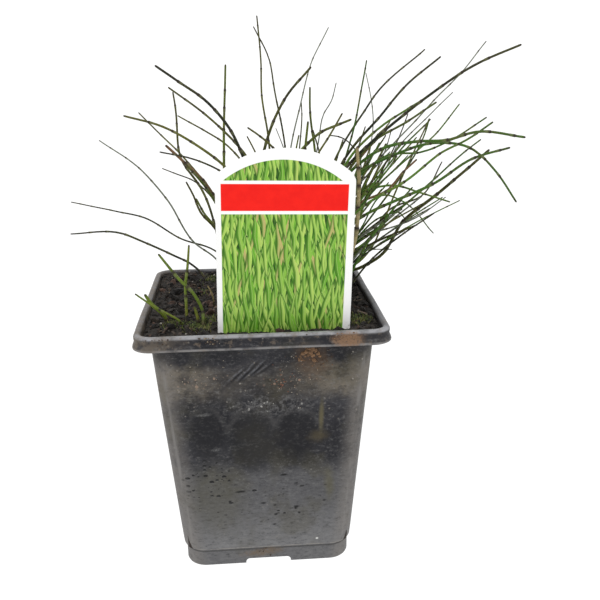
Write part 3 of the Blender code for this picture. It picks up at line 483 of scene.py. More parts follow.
    # rim: a painted highlight along the rounded crest, strongest at the front, a pale lip, muddy in places
    onrim = n.fit(n.z, 94.2, 94.9)
    lip = n.m("MULTIPLY", n.fit(n.m("ABSOLUTE", n.m("SUBTRACT", n.z, 95.25)), 0.75, 0.15), n.fit(n.noise(0.25, 3, 0.6), 0.28, 0.60, 0.35, 1.0))
    color = n.mix(n.m("MULTIPLY", lip, 0.80), color, (0.215, 0.208, 0.206))
    groove = n.fit(n.m("ABSOLUTE", n.m("SUBTRACT", n.z, 97.7)), 1.1, 0.4)
    color = n.mix(n.m("MULTIPLY", groove, 0.55), color, (0.0085, 0.0085, 0.0115))
    crest_highlight = n.m("MULTIPLY", n.fit(n.z, 98.7, 99.5), n.fit(n.noise(0.2, 3, 0.6), 0.28, 0.58, 0.45, 1.0))
    crest_highlight = n.m("MULTIPLY", crest_highlight, n.fit(n.y, -36.0, -43.0, 0.42, 1.0))
    color = n.mix(n.m("MULTIPLY", crest_highlight, 0.88), color, (0.300, 0.300, 0.315))
    corner = n.m("MULTIPLY", n.m("MULTIPLY", onrim, n.fit(n.x, -22.0, -40.0)), n.fit(n.noise(0.22, 4, 0.65), 0.34, 0.56))
    color = n.mix(n.m("MULTIPLY", corner, 0.62), color, (0.120, 0.098, 0.074))
    splash = n.m("MULTIPLY", n.m("MULTIPLY", onrim, n.fit(n.noise(0.33, 4, 0.7, shift=(13, 2, 5)), 0.52, 0.64)), n.fit(fine, 0.3, 0.55))
    color = n.mix(n.m("MULTIPLY", splash, 0.55), color, (0.150, 0.118, 0.088))
    muddy = n.m("MULTIPLY", n.m("MULTIPLY", onrim, n.blob((29.0, 97.0), (4.8, 2.6), 0.0, 0.5, 1.2)), n.fit(fine, 0.30, 0.50))
    mark(muddy, (0.195, 0.115, 0.066), 0.85)
    n.put(n.bsdf.inputs["Base Color"], color)
    rough = n.fit(fine, 0.25, 0.75, 0.36, 0.58)
    rough = n.m("ADD", rough, n.m("MULTIPLY", n.m("MAXIMUM", dust_and_floor_reflection, band), 0.22))
    n.put(n.bsdf.inputs["Roughness"], rough)
    n.bsdf.inputs["Specular IOR Level"].default_value = 0.17
    normal = n.bump(n.noise(0.10, 2, 0.5), 0.30, 0.0006)
    normal = n.bump(grain, 0.25, 0.0003, normal)
    normal = n.bump(grit, 0.12, 0.0002, normal)
    n.put(n.bsdf.inputs["Normal"], normal)
    return n.mat


def tint_material(name, rough0, rough1, bump_scale, bump_depth, vary=0.35, sheen=0.0):
    """A material that takes its base colour from the mesh's own tint."""
    n = Nodes(name)
    fine = n.noise(bump_scale, 4, 0.65)
    base = n.attribute("tint")
    color = n.mix(n.m("MULTIPLY", n.fit(fine, 0.62, 0.30), vary), base, (0.004, 0.003, 0.002))
    color = n.mix(n.m("MULTIPLY", n.fit(fine, 0.58, 0.80), vary * 0.5), color, (0.20, 0.16, 0.11), "SCREEN")
    n.put(n.bsdf.inputs["Base Color"], color)
    n.put(n.bsdf.inputs["Roughness"], n.fit(fine, 0.3, 0.7, rough0, rough1))
    n.bsdf.inputs["Sheen Weight"].default_value = sheen
    n.put(n.bsdf.inputs["Normal"], n.bump(fine, 0.8, bump_depth))
    return n.mat


def stem_material():
    """Waxy green stem: fine lengthwise ridges."""
    n = Nodes("stem_skin")
    base = n.attribute("tint")
    mottled = n.noise(1.1, 4, 0.6)
    fine = n.noise(5.0, 3, 0.6)
    color = n.mix(n.fit(mottled, 0.62, 0.28, 0.0, 0.42), base, (0.010, 0.014, 0.004))
    color = n.mix(n.fit(fine, 0.55, 0.80, 0.0, 0.22), color, (0.26, 0.32, 0.08))
    n.put(n.bsdf.inputs["Base Color"], color)
    n.put(n.bsdf.inputs["Roughness"], n.fit(mottled, 0.3, 0.7, 0.48, 0.66))
    n.bsdf.inputs["Specular IOR Level"].default_value = 0.22
    n.put(n.bsdf.inputs["Normal"], n.bump(fine, 0.35, 0.00012))
    return n.mat


def label_material():
    """White printed plastic: small leaves on green, crossed by one plain red stripe."""
    n = Nodes("label_print")
    uv = n.tree.nodes.new("ShaderNodeUVMap")
    uv.uv_map = "print"
    u, v, _ = n.split(uv.outputs[0])
    p = n.join(u, v, 0.0)

    # foliage: layers of small lance-shaped leaves, each layer with its own tilt
    field = n.mix(n.fit(n.noise(0.8, 4, 0.6, vector=n.vmath("MULTIPLY", p, (1.0, 0.3, 1.0))), 0.36, 0.62), (0.018, 0.060, 0.008), (0.060, 0.170, 0.018))
    layers = ((2.9, 16.0, -0.30, 0.16), (2.7, 15.0, 0.26, 0.62), (2.6, 16.5, -0.12, 0.33), (2.5, 14.0, 0.18, 0.84), (2.4, 15.5, -0.04, 0.47),
              (2.6, 13.5, 0.34, 0.21), (2.3, 14.5, -0.22, 0.74), (2.5, 13.0, 0.08, 0.55))
    for i, (pitch, length, tilt, seed) in enumerate(layers):
        c, d = math.cos(tilt), math.sin(tilt)
        wander = n.m("MULTIPLY", n.m("SUBTRACT", n.noise(0.07, 1, 0.5, vector=n.vmath("ADD", p, (31.0 * seed, 17.0 * i, 0.0))), 0.5), 4.0)
        across = n.m("ADD", n.m("ADD", n.m("MULTIPLY", u, c), n.m("MULTIPLY", v, d)), n.m("ADD", wander, 11.0 * seed))
        along = n.m("SUBTRACT", n.m("MULTIPLY", v, c), n.m("MULTIPLY", u, d))
        row = n.m("DIVIDE", across, pitch)
        cell = n.m("FLOOR", row)
        first = n.tree.nodes.new("ShaderNodeTexWhiteNoise")
        first.noise_dimensions = "2D"
        n.put(first.inputs["Vector"], n.join(cell, 7.3 * seed + i, 0.0))
        lift, _, _ = n.split(first.outputs["Color"])
        rise = n.m("ADD", n.m("DIVIDE", along, length), n.m("MULTIPLY", lift, 5.0))
        tier = n.m("FLOOR", rise)
        pick = n.tree.nodes.new("ShaderNodeTexWhiteNoise")
        pick.noise_dimensions = "2D"
        n.put(pick.inputs["Vector"], n.join(n.m("ADD", cell, 3.7 * i), tier, 0.0))
        r1, r2, r3 = n.split(pick.outputs["Color"])
        local = n.m("SUBTRACT", n.m("SUBTRACT", row, cell), 0.5)
        q = n.m("SUBTRACT", rise, tier)
        swell = n.m("POWER", n.m("MULTIPLY", n.m("MULTIPLY", q, n.m("SUBTRACT", 1.0, q)), 4.0), 0.75)
        width = n.m("MULTIPLY", swell, n.m("ADD", 0.22, n.m("MULTIPLY", r2, 0.16)))
        shown = n.fit(r3, 0.16, 0.18)
        inside = n.m("MULTIPLY", n.fit(n.m("SUBTRACT", width, n.m("ABSOLUTE", local)), 0.0, 0.03), shown)
        # the leaf's own shadow on what lies behind it
        cast = n.m("MULTIPLY", n.fit(n.m("SUBTRACT", n.m("ADD", width, 0.05), n.m("ABSOLUTE", n.m("ADD", local, 0.06))), 0.0, 0.06), shown)
        field = n.mix(n.m("MULTIPLY", cast, 0.55), field, (0.010, 0.045, 0.004))
        side = n.fit(n.m("DIVIDE", local, 0.25), -1.0, 0.6, smooth=False)
        warm = n.mix(n.fit(r1, 0.1, 0.9, smooth=False), (0.130, 0.350, 0.028), (0.400, 0.580, 0.115))
        warm = n.mix(n.fit(r1, 0.90, 0.92), warm, (0.42, 0.36, 0.13))
        shade = n.mix(side, (0.050, 0.170, 0.012), warm)
        rib = n.fit(n.m("ABSOLUTE", local), 0.05, 0.0)
        shade = n.mix(n.m("MULTIPLY", rib, 0.45), shade, (0.60, 0.74, 0.27))
        field = n.mix(inside, field, shade)

    # green field up to the label's own arch, one straight red stripe with white keylines
    dx = n.m("ADD", u, 0.9)
    arch = n.m("ADD", 29.0, n.m("SQRT", n.m("SUBTRACT", 992.0, n.m("MULTIPLY", dx, dx))))
    right = n.m("SUBTRACT", 21.0, n.m("MULTIPLY", n.fit(v, 60.0, 0.0, smooth=False), 0.5))
    sides = n.m("MULTIPLY", n.fit(u, -21.45, -21.30), n.fit(n.m("SUBTRACT", right, u), -0.07, 0.07))
    window = n.m("MULTIPLY", sides, n.fit(n.m("SUBTRACT", arch, v), -0.07, 0.07))
    white = (0.80, 0.80, 0.79)
    picture = n.mix(window, white, field)

    def stripe(low, high):
        return n.m("MULTIPLY", n.m("MULTIPLY", n.fit(v, low - 0.07, low + 0.07), n.fit(v, high + 0.07, high - 0.07)), sides)

    picture = n.mix(stripe(42.4, 53.6), picture, white)
    red = n.mix(n.fit(n.noise(0.25, 3, 0.6, vector=p), 0.3, 0.7), (0.700, 0.006, 0.003), (0.760, 0.009, 0.004))
    picture = n.mix(stripe(43.5, 52.5), picture, red)
    # soft wear and splashed soil along the bottom
    dirt = n.m("MULTIPLY", n.fit(n.noise(0.55, 4, 0.65, vector=p), 0.55, 0.72), n.fit(v, 7.0, 0.5))
    picture = n.mix(n.m("MULTIPLY", dirt, 0.55), picture, (0.10, 0.065, 0.040))
    # the back of the label is plain white
    face = n.attribute("tint")
    is_front, _, _ = n.split(face)
    color = n.mix(is_front, (0.80, 0.80, 0.79), picture)
    n.put(n.bsdf.inputs["Base Color"], color)
    n.put(n.bsdf.inputs["Roughness"], n.fit(n.noise(0.3, 3, 0.6, vector=p), 0.3, 0.7, 0.34, 0.46))
    n.bsdf.inputs["Specular IOR Level"].default_value = 0.16
    n.put(n.bsdf.inputs["Normal"], n.bump(n.noise(0.09, 2, 0.5, vector=p), 0.25, 0.0006))
    return n.mat


# ----------------------------------------------------------------------- pot
def wall_half(z):
    return (WALL_BASE + (WALL_TOP - WALL_BASE) * z / POT_HEIGHT) / 2


def wall_corner(z):
    return WALL_CORNER_BASE + (WALL_CORNER_TOP - WALL_CORNER_BASE) * z / POT_HEIGHT


def rounded_square(half, radius, z, steps=9, side=14):
    """Corner-rounded square ring with points along the straight sides too."""
    ring = []
    for quarter in range(4):
        c, s = (1, 0, -1, 0)[quarter], (0, 1, 0, -1)[quarter]
        cx = half - radius
        pts = [(cx + radius * math.cos(math.radians(90 * k / steps)),
                cx + radius * math.sin(math.radians(90 * k / steps))) for k in range(steps + 1)]
        pts += [(cx - 2 * cx * k / side, half) for k in range(1, side)]
        ring += [(x * c - y * s, x * s + y * c, z) for x, y in pts]
    return ring


def loft(name, rings, mat, shape=None):
    n = len(rings[0])
    verts = [p for ring in rings for p in ring]
    faces = []
    for k in range(len(rings) - 1):
        a = k * n
        for i in range(n):
            j = (i + 1) % n
            faces.append((a + i, a + j, a + n + j, a + n + i))
    faces.append(tuple(reversed(range(n))))
    faces.append(tuple(range(len(verts) - n, len(verts))))
    if shape is not None:
        verts = [shape(p) for p in verts]
    obj = new_object(name, verts, faces, mat)
    outward(obj)
    return obj


def build_pot(mat):
    rim, top = RIM_WIDTH / 2, POT_HEIGHT
    skirt = top - RIM_DROP
    foot = wall_half(FOOT_STEP) - FOOT_INSET
    inner = lambda z: wall_half(z) - WALL
    profile = [
        (foot - FOOT_RING - 0.4, WALL_CORNER_BASE - FOOT_RING, FLOOR_UNDER),
        (foot - FOOT_RING - 0.1, WALL_CORNER_BASE - FOOT_RING, 0.35),
        (foot - FOOT_RING + 0.3, WALL_CORNER_BASE - FOOT_RING, 0.0),
        (foot - 0.8, WALL_CORNER_BASE - 0.8, 0.0),
        (foot - 0.25, WALL_CORNER_BASE - 0.3, 0.18),
        (foot, WALL_CORNER_BASE, 0.7),
        (foot, WALL_CORNER_BASE, 3.4),
        (foot + 0.02, WALL_CORNER_BASE, FOOT_STEP - 1.1),
        (foot + 0.12, WALL_CORNER_BASE, FOOT_STEP - 0.75),
        (wall_half(FOOT_STEP) - 0.18, WALL_CORNER_BASE, FOOT_STEP - 0.2),
        (wall_half(FOOT_STEP), WALL_CORNER_BASE, FOOT_STEP + 0.3),
    ]
    for z in range(12, 95, 6):
        profile.append((wall_half(z), wall_corner(z), float(z)))
    profile += [
        (wall_half(LEDGE_UNDER - 0.4), wall_corner(top), LEDGE_UNDER - 0.4),
        (wall_half(LEDGE_UNDER) + 0.3, wall_corner(top), LEDGE_UNDER),
        (rim - 2.2, RIM_CORNER - 1.8, LEDGE_UNDER + 0.2),
        (rim - 1.9, RIM_CORNER - 1.6, LEDGE_UNDER + 0.1),
        (rim - 1.25, RIM_CORNER - 1.0, skirt + 0.1),
        (rim - 1.0, RIM_CORNER - 0.8, skirt),
        (rim - 0.35, RIM_CORNER, skirt),
        (rim - 0.06, RIM_CORNER, skirt + 0.25),
        (rim, RIM_CORNER, skirt + 0.7),
        (rim - 0.15, RIM_CORNER, skirt + 1.35),
        (rim - 0.42, RIM_CORNER - 0.2, skirt + 1.9),
        (rim - 0.66, RIM_CORNER - 0.3, skirt + 2.6),
        (rim - 0.55, RIM_CORNER - 0.3, top - 1.5),
        (rim - 0.55, RIM_CORNER - 0.3, top - 0.8),
        (rim - 0.90, RIM_CORNER - 0.6, top - 0.25),
        (rim - 1.45, RIM_CORNER - 1.05, top - 0.03),
        (rim - 2.1, RIM_CORNER - 1.5, top),
        (rim - 2.5, RIM_CORNER - 1.85, top - 0.12),
        (rim - 2.8, RIM_CORNER - 2.1, top - 0.5),
        (rim - 2.95, RIM_CORNER - 2.25, top - 1.5),
        (rim - COLLAR, RIM_CORNER - 2.4, LEDGE_TOP + 0.3),
        (rim - COLLAR - 0.3, RIM_CORNER - 2.5, LEDGE_TOP),
        (inner(LEDGE_TOP) + 0.3, wall_corner(top) - WALL, LEDGE_TOP),
        (inner(LEDGE_TOP), wall_corner(top) - WALL, LEDGE_TOP - 0.3),
    ]
    for z in (92, 88, 80, 70, 54, 38, 20):
        profile.append((inner(z), wall_corner(z) - WALL, float(z)))
    profile += [
        (inner(FLOOR_UNDER + 4), WALL_CORNER_BASE - WALL, FLOOR_UNDER + 4),
        (inner(FLOOR_UNDER + FLOOR_PLATE) - 1.5, WALL_CORNER_BASE - WALL - 1.2, FLOOR_UNDER + FLOOR_PLATE),
    ]

    def sag(p):
        # the moulding is not quite true: rim and walls waver slightly
        x, y, z = p
        t = min(max((z - 10) / 80, 0.0), 1.0)
        w = noise.noise(Vector((x / 24, y / 24, z / 40))) * 0.22 * t
        h = noise.noise(Vector((x / 30, y / 30, 7.0))) * 0.16 * t if z > 94 else 0.0
        out = -abs(w)
        k = 1 + out / 45
        return (x * k, y * k, z - abs(h))

    pot = loft("nursery_pot", [rounded_square(h, r, z) for h, r, z in profile], mat, sag)

    def cutter(name, verts, faces):
        obj = new_object(name, verts, faces, mat, smooth=False)
        outward(obj)
        mod = pot.modifiers.new(name, "BOOLEAN")
        mod.operation, mod.solver, mod.object = "DIFFERENCE", "EXACT", obj
        return obj

    tools = []
    w, h, r = NOTCH_WIDTH / 2, NOTCH_HEIGHT, 1.5
    outline = [(-w, -2.0), (w, -2.0)]
    outline += [(w - r + r * math.cos(a), h - r + r * math.sin(a)) for a in [math.radians(15 * k) for k in range(7)]]
    outline += [(-w + r - r * math.sin(a), h - r + r * math.cos(a)) for a in [math.radians(15 * k) for k in range(7)]]
    n = len(outline)
    for turned in (0, 1):
        front = [(x, -60.0, z) for x, z in outline]
        back = [(x, 60.0, z) for x, z in outline]
        verts = front + back
        if turned:
            verts = [(-y, x, z) for x, y, z in verts]
        faces = [(i, (i + 1) % n, n + (i + 1) % n, n + i) for i in range(n)]
        faces += [tuple(reversed(range(n))), tuple(range(n, 2 * n))]
        tools.append(cutter("notch_%d" % turned, verts, faces))
    spots = [(0, 0)] + [(sx * DRAIN_SPACING, sy * DRAIN_SPACING) for sx in (-1, 1) for sy in (-1, 1)]
    for i, (cx, cy) in enumerate(spots):
        m = 24
        ring = [(cx + DRAIN_DIAMETER / 2 * math.cos(2 * math.pi * k / m), cy + DRAIN_DIAMETER / 2 * math.sin(2 * math.pi * k / m)) for k in range(m)]
        verts = [(x, y, 1.0) for x, y in ring] + [(x, y, 8.0) for x, y in ring]
        faces = [(k, (k + 1) % m, m + (k + 1) % m, m + k) for k in range(m)]
        faces += [tuple(reversed(range(m))), tuple(range(m, 2 * m))]
        tools.append(cutter("drain_%d" % i, verts, faces))
    bpy.context.view_layer.update()
    deps = bpy.context.evaluated_depsgraph_get()
    mesh = bpy.data.meshes.new_from_object(pot.evaluated_get(deps))
    pot.modifiers.clear()
    pot.data = mesh
    mesh.materials.clear()
    mesh.materials.append(mat)
    for tool in tools:
        bpy.data.objects.remove(tool, do_unlink=True)
    mesh.shade_smooth()
    mesh.set_sharp_from_angle(angle=math.radians(38))
    return pot


def build_mud(mat):
    """Dried clods of orange-brown mud on the rim and the wall below it."""
    rand = random.Random(41)
    heap = Heap()

    def face_y(z):
        return -wall_half(z) if z < 94.5 else -RIM_WIDTH / 2 + 0.7

    def clod(x, z, size, tone, flat=0.5, count=1, spread=0.0):
        for _ in range(count):
            px = x + rand.gauss(0, spread)
            pz = min(z + rand.gauss(0, spread * 0.8), 99.3)
            if 93.6 < pz < 95.2:
                pz = 93.4
            s = size * rand.uniform(0.45, 1.1)
            y = face_y(pz) + s * 0.12
            v, f = crumb(rand, (0, 0, 0), s, (1, 1, 1), fine=s > 0.8, rough=0.36)
            v = v * np.array((1.0, flat, 0.85)) + np.array((px, y, pz))
            c = np.array(tone) * rand.uniform(0.65, 1.25)
            heap.add(v, f, c)

    orange, brown, pale, red = (0.19, 0.105, 0.052), (0.060, 0.036, 0.021), (0.36, 0.31, 0.24), (0.17, 0.075, 0.045)
    clod(16.6, 91.2, 0.85, orange, 0.6, 34, 1.55)
    clod(17.4, 92.4, 0.7, brown, 0.7, 20, 1.5)
    clod(13.6, 89.0, 0.42, orange, 0.5, 16, 1.3)
    clod(21.0, 88.6, 0.40, brown, 0.5, 16, 1.5)
    clod(18.0, 87.0, 0.30, orange, 0.5, 14, 2.6)
    clod(29.0, 97.6, 0.45, orange, 0.5, 26, 1.7)
    clod(26.4, 99.0, 0.40, orange, 0.5, 12, 1.8)
    clod(6.3, 79.0, 0.42, red, 0.5, 12, 1.0)
    clod(5.0, 81.2, 0.26, red, 0.5, 12, 3.0)
    clod(9.0, 80.0, 0.24, pale, 0.5, 26, 5.0)
    clod(-25.0, 81.5, 0.22, pale, 0.5, 16, 3.6)
    clod(-18.0, 98.0, 0.36, (0.21, 0.165, 0.11), 0.5, 12, 1.4)
    clod(-18.0, 97.6, 0.38, brown, 0.6, 14, 2.2)
    clod(-35.0, 98.2, 0.34, brown, 0.6, 12, 2.6)
    clod(-2.0, 98.6, 0.26, brown, 0.6, 14, 7.0)
    clod(14.0, 84.0, 0.22, pale, 0.5, 14, 5.0)
    clod(-16.0, 90.0, 0.18, pale, 0.5, 14, 8.0)
    clod(-2.0, 5.2, 0.30, brown, 0.4, 12, 1.6)
    return heap.build("dried_mud", mat)


# ---------------------------------------------------------------------- soil
def soil_height(x, y):
    ripple = 0.35 * math.sin(x / 7 + 1) * math.cos(y / 9)
    bank = 0.9 / (1 + math.exp(-(y - 27) / 3.0))
    hollow = -0.9 * math.exp(-((x - 27) ** 2 + (y - 10) ** 2) / 110)
    clump = 0.9 * math.exp(-((x - 34) ** 2 + (y + 20) ** 2) / 90)
    return SOIL_TOP + ripple + bank + hollow + clump


def chunky(x, y):
    """Lumps of peat on the surface, from blunt clods down to grains."""
    a = noise.noise(Vector((x * 0.22, y * 0.22, 3.0)))
    b = noise.noise(Vector((x * 0.62, y * 0.62, 9.0)))
    c = noise.noise(Vector((x * 1.7, y * 1.7, 14.0)))
    d, _ = noise.voronoi(Vector((x * 0.42, y * 0.42, 1.0)))
    return 0.7 * a + 0.9 * abs(b) + 0.45 * c - 1.7 * min(d[0], 0.6) + 0.35


def surface(x, y):
    """Lumpy level of the compost; it stays over the ledge under the rim."""
    edge = smooth01((max(abs(x), abs(y)) - 34.0) / 6.0)
    rise = chunky(x, y) - 0.1
    return max(soil_height(x, y) + rise * (1 - 0.45 * edge) - 0.2 * edge, LEDGE_TOP + 0.45 if edge > 0.3 else 90.0)


def smooth01(t):
    t = min(max(t, 0.0), 1.0)
    return t * t * (3 - 2 * t)


def build_soil(mat):
    half = RIM_WIDTH / 2 - COLLAR - GAP
    count = 170
    span = np.linspace(-half, half, count)
    radius = RIM_CORNER - 2.4 - GAP
    verts, colors = [], []
    for y in span:
        for x in span:
            # the square grid is eased into the rounded corners
            ax, ay = abs(x), abs(y)
            ox, oy = max(ax - (half - radius), 0), max(ay - (half - radius), 0)
            reach = math.hypot(ox, oy)
            k = 1.0 if reach < 1e-6 else max(ox, oy) / reach
            px = math.copysign(min(ax, half - radius) + ox * k, x)
            py = math.copysign(min(ay, half - radius) + oy * k, y)
            verts.append((px, py, surface(px, py)))
            t = noise.noise(Vector((px * 0.35, py * 0.35, 21.0)))
            q = noise.noise(Vector((px * 1.3, py * 1.3, 33.0)))
            base = np.array((0.0150, 0.0115, 0.0085)) * (1 + 0.7 * t)
            base = base + np.array((0.040, 0.029, 0.021)) * max(q, 0.0)
            colors.append(base)
    faces = []
    for r in range(count - 1):
        for c in range(count - 1):
            i = r * count + c
            faces.append((i, i + 1, i + count + 1, i + count))
    # walls of the root ball: the border, carried down to the base plate
    border = list(range(count)) + [r * count + count - 1 for r in range(1, count)]
    border += [(count - 1) * count + c for c in range(count - 2, -1, -1)] + [r * count for r in range(count - 2, 0, -1)]
    low = FLOOR_UNDER + FLOOR_PLATE + GAP
    previous = border
    for z, reach in ((LEDGE_TOP + GAP, half), (LEDGE_TOP + GAP, wall_half(96) - WALL - GAP - 0.1),
                     (60.0, wall_half(60) - WALL - GAP), (20.0, wall_half(20) - WALL - GAP),
                     (low + 3, wall_half(low + 3) - WALL - GAP), (low, wall_half(low) - WALL - 2.4)):
        row = []
        scale = reach / half
        for i in border:
            x, y, _ = verts[i]
            wob = 1 - 0.006 * abs(noise.noise(Vector((x * 0.5, y * 0.5, z * 0.3))))
            row.append(len(verts))
            verts.append((x * scale * wob, y * scale * wob, z))
            colors.append(np.array((0.022, 0.014, 0.009)))
        for k in range(len(border)):
            j = (k + 1) % len(border)
            faces.append((previous[j], previous[k], row[k], row[j]))
        previous = row
    faces.append(tuple(previous))
    obj = new_object("compost_ball", verts, faces, mat, np.array(colors))
    outward(obj)
    return obj


STEM_ROOTS = [entry[3] for entry in STEMS]


def clear_of_stems(x, y, reach):
    return all((x - a) ** 2 + (y - b) ** 2 > reach ** 2 for a, b in STEM_ROOTS)


def label_clear(x, y):
    return not (abs(x - LABEL_X) < 25.5 and abs(y - LABEL_Y) < 2.0)


def build_crumbs(mat):
    """Loose grains, bark chips and clods lying on the compost."""
    rand = random.Random(7)
    heap = Heap()
    limit = RIM_WIDTH / 2 - COLLAR - 1.1
    tones = [(0.008, 0.006, 0.005), (0.013, 0.010, 0.008), (0.024, 0.017, 0.012), (0.010, 0.008, 0.006),
             (0.042, 0.030, 0.022), (0.030, 0.025, 0.021), (0.070, 0.040, 0.028)]
    for i in range(4600):
        x, y = rand.uniform(-limit, limit), rand.uniform(-limit, limit)
        if math.hypot(max(abs(x) - limit + 4, 0), max(abs(y) - limit + 4, 0)) > 4 or not label_clear(x, y):
            continue
        big = rand.random()
        size = 0.30 + 0.62 * big ** 2 + (0.95 * rand.random() if big > 0.92 else 0.0)
        stretch = (rand.uniform(0.7, 1.5), rand.uniform(0.6, 1.1), rand.uniform(0.45, 0.9))
        v, f = crumb(rand, (x, y, surface(x, y) + size * rand.uniform(-0.1, 0.45)), size, stretch, fine=size > 0.95, rough=0.33)
        tone = tones[min(int(rand.random() ** 1.7 * 7), 6)]
        heap.add(v, f, np.array(tone) * rand.uniform(0.6, 1.35))
    # flat flakes of bark and red-brown litter
    box = [(0, 3, 2, 1), (4, 5, 6, 7), (0, 1, 5, 4), (1, 2, 6, 5), (2, 3, 7, 6), (3, 0, 4, 7)]
    for i in range(300):
        x, y = rand.uniform(-limit, limit) * 0.97, rand.uniform(-limit, limit) * 0.97
        if not label_clear(x, y):
            continue
        l, w, t = rand.uniform(0.7, 2.6), rand.uniform(0.25, 0.8), rand.uniform(0.08, 0.22)
        v = np.array([(sx * l * rand.uniform(0.7, 1.05), sy * w * rand.uniform(0.6, 1.1), sz * t)
                      for sz in (-1, 1) for sx, sy in ((-1, -1), (1, -1), (1, 1), (-1, 1))])
        turn = np.array(Matrix.Rotation(rand.uniform(0, 6.28), 3, "Z") @ Matrix.Rotation(rand.gauss(0, 0.45), 3, "X") @ Matrix.Rotation(rand.gauss(0, 0.35), 3, "Y"))
        v = v @ turn.T + np.array((x, y, surface(x, y) + 0.45))
        tone = rand.choice([(0.034, 0.023, 0.016), (0.022, 0.016, 0.012), (0.070, 0.042, 0.028), (0.10, 0.072, 0.050), (0.016, 0.012, 0.009)])
        heap.add(v, box, np.array(tone) * rand.uniform(0.6, 1.3))
    return heap.build("compost_crumbs", mat, smooth=False)


def strand(path, radii, sides=5):
    """A closed tube through the points, as points and faces."""
    path = np.asarray(path, float)
    tang = np.gradient(path, axis=0)
    tang /= np.linalg.norm(tang, axis=1)[:, None] + 1e-12
    ref = np.array((0.3, 0.9, 0.2))
    verts, faces = [], []
    side = np.cross(tang[0], ref)
    side /= np.linalg.norm(side)
    for k, (p, t, r) in enumerate(zip(path, tang, radii)):
        side = side - t * (side @ t)
        side /= np.linalg.norm(side)
        up = np.cross(t, side)
        for i in range(sides):
            a = 2 * math.pi * i / sides
            verts.append(p + r * (math.cos(a) * side + math.sin(a) * up))
        if k:
            b = (k - 1) * sides
            for i in range(sides):
                j = (i + 1) % sides
                faces.append((b + i, b + j, b + sides + j, b + sides + i))
    faces.append(tuple(reversed(range(sides))))
    faces.append(tuple(range(len(verts) - sides, len(verts))))
    return np.array(verts), faces


def build_litter(mat):
    """Fibres, dry bits of stem and pale grit on the compost."""
    rand = random.Random(19)
    heap = Heap()
    limit = RIM_WIDTH / 2 - COLLAR - 2.5
    for i in range(110):
        x, y = rand.uniform(-limit, limit), rand.uniform(-limit, limit)
        if not label_clear(x, y):
            continue
        length, turn, curl = rand.uniform(2.0, 6.5), rand.uniform(0, 6.28), rand.gauss(0, 0.25)
        pts, px, py = [], x, y
        for k in range(7):
            px, py = px + math.cos(turn) * length / 6, py + math.sin(turn) * length / 6
            turn += curl
            if max(abs(px), abs(py)) > limit or not label_clear(px, py):
                break
            pts.append((px, py, surface(px, py) + 0.35 + 0.25 * math.sin(k)))
        if len(pts) < 3:
            continue
        r = rand.uniform(0.07, 0.20)
        v, f = strand(pts, [r] * (len(pts) - 1) + [r * 0.5], 5)
        tone = rand.choice([(0.20, 0.13, 0.075), (0.10, 0.060, 0.035), (0.28, 0.21, 0.12), (0.060, 0.040, 0.026), (0.16, 0.070, 0.035)])
        heap.add(v, f, np.array(tone) * rand.uniform(0.6, 1.2))
    for i in range(60):
        x, y = rand.uniform(-limit, limit), rand.uniform(-limit, limit)
        if not label_clear(x, y):
            continue
        v, f = crumb(rand, (x, y, surface(x, y) + 0.4), rand.uniform(0.2, 0.5), rough=0.25)
        heap.add(v, f, np.array((0.46, 0.43, 0.38)) * rand.uniform(0.5, 1.0))
    return heap.build("litter", mat, smooth=False)


def build_moss(mat):
    """Cushions of tiny leaves round the front shoots and on the right."""
    rand = random.Random(23)
    heap = Heap()
    patches = [(-23, -28, 5.5, 420), (-32, -25, 3.5, 150), (-19, -22, 4.0, 160), (35, -28, 4.5, 200),
               (-24, 14, 4.5, 60), (-20, 30, 3.5, 60), (20, -22, 4.0, 110), (-8, -22, 4, 80)]
    limit = RIM_WIDTH / 2 - COLLAR - 1.5
    for cx, cy, spread, count in patches:
        for _ in range(count):
            x, y = rand.gauss(cx, spread * 0.55), rand.gauss(cy, spread * 0.5)
            if max(abs(x), abs(y)) > limit or not label_clear(x, y):
                continue
            z = surface(x, y) - 0.1
            h, w = rand.uniform(0.7, 1.7), rand.uniform(0.10, 0.22)
            dx, dy = rand.gauss(0, 0.45), rand.gauss(0, 0.45)
            v, f = strand([(x, y, z), (x + dx * 0.4, y + dy * 0.4, z + h * 0.55), (x + dx, y + dy, z + h)], [w * 0.7, w, w * 0.25], 4)
            tone = rand.choice([(0.075, 0.115, 0.020), (0.120, 0.150, 0.030), (0.050, 0.070, 0.015), (0.17, 0.16, 0.045)])
            heap.add(v, f, np.array(tone) * rand.uniform(0.6, 1.3))
    return heap.build("moss", mat)


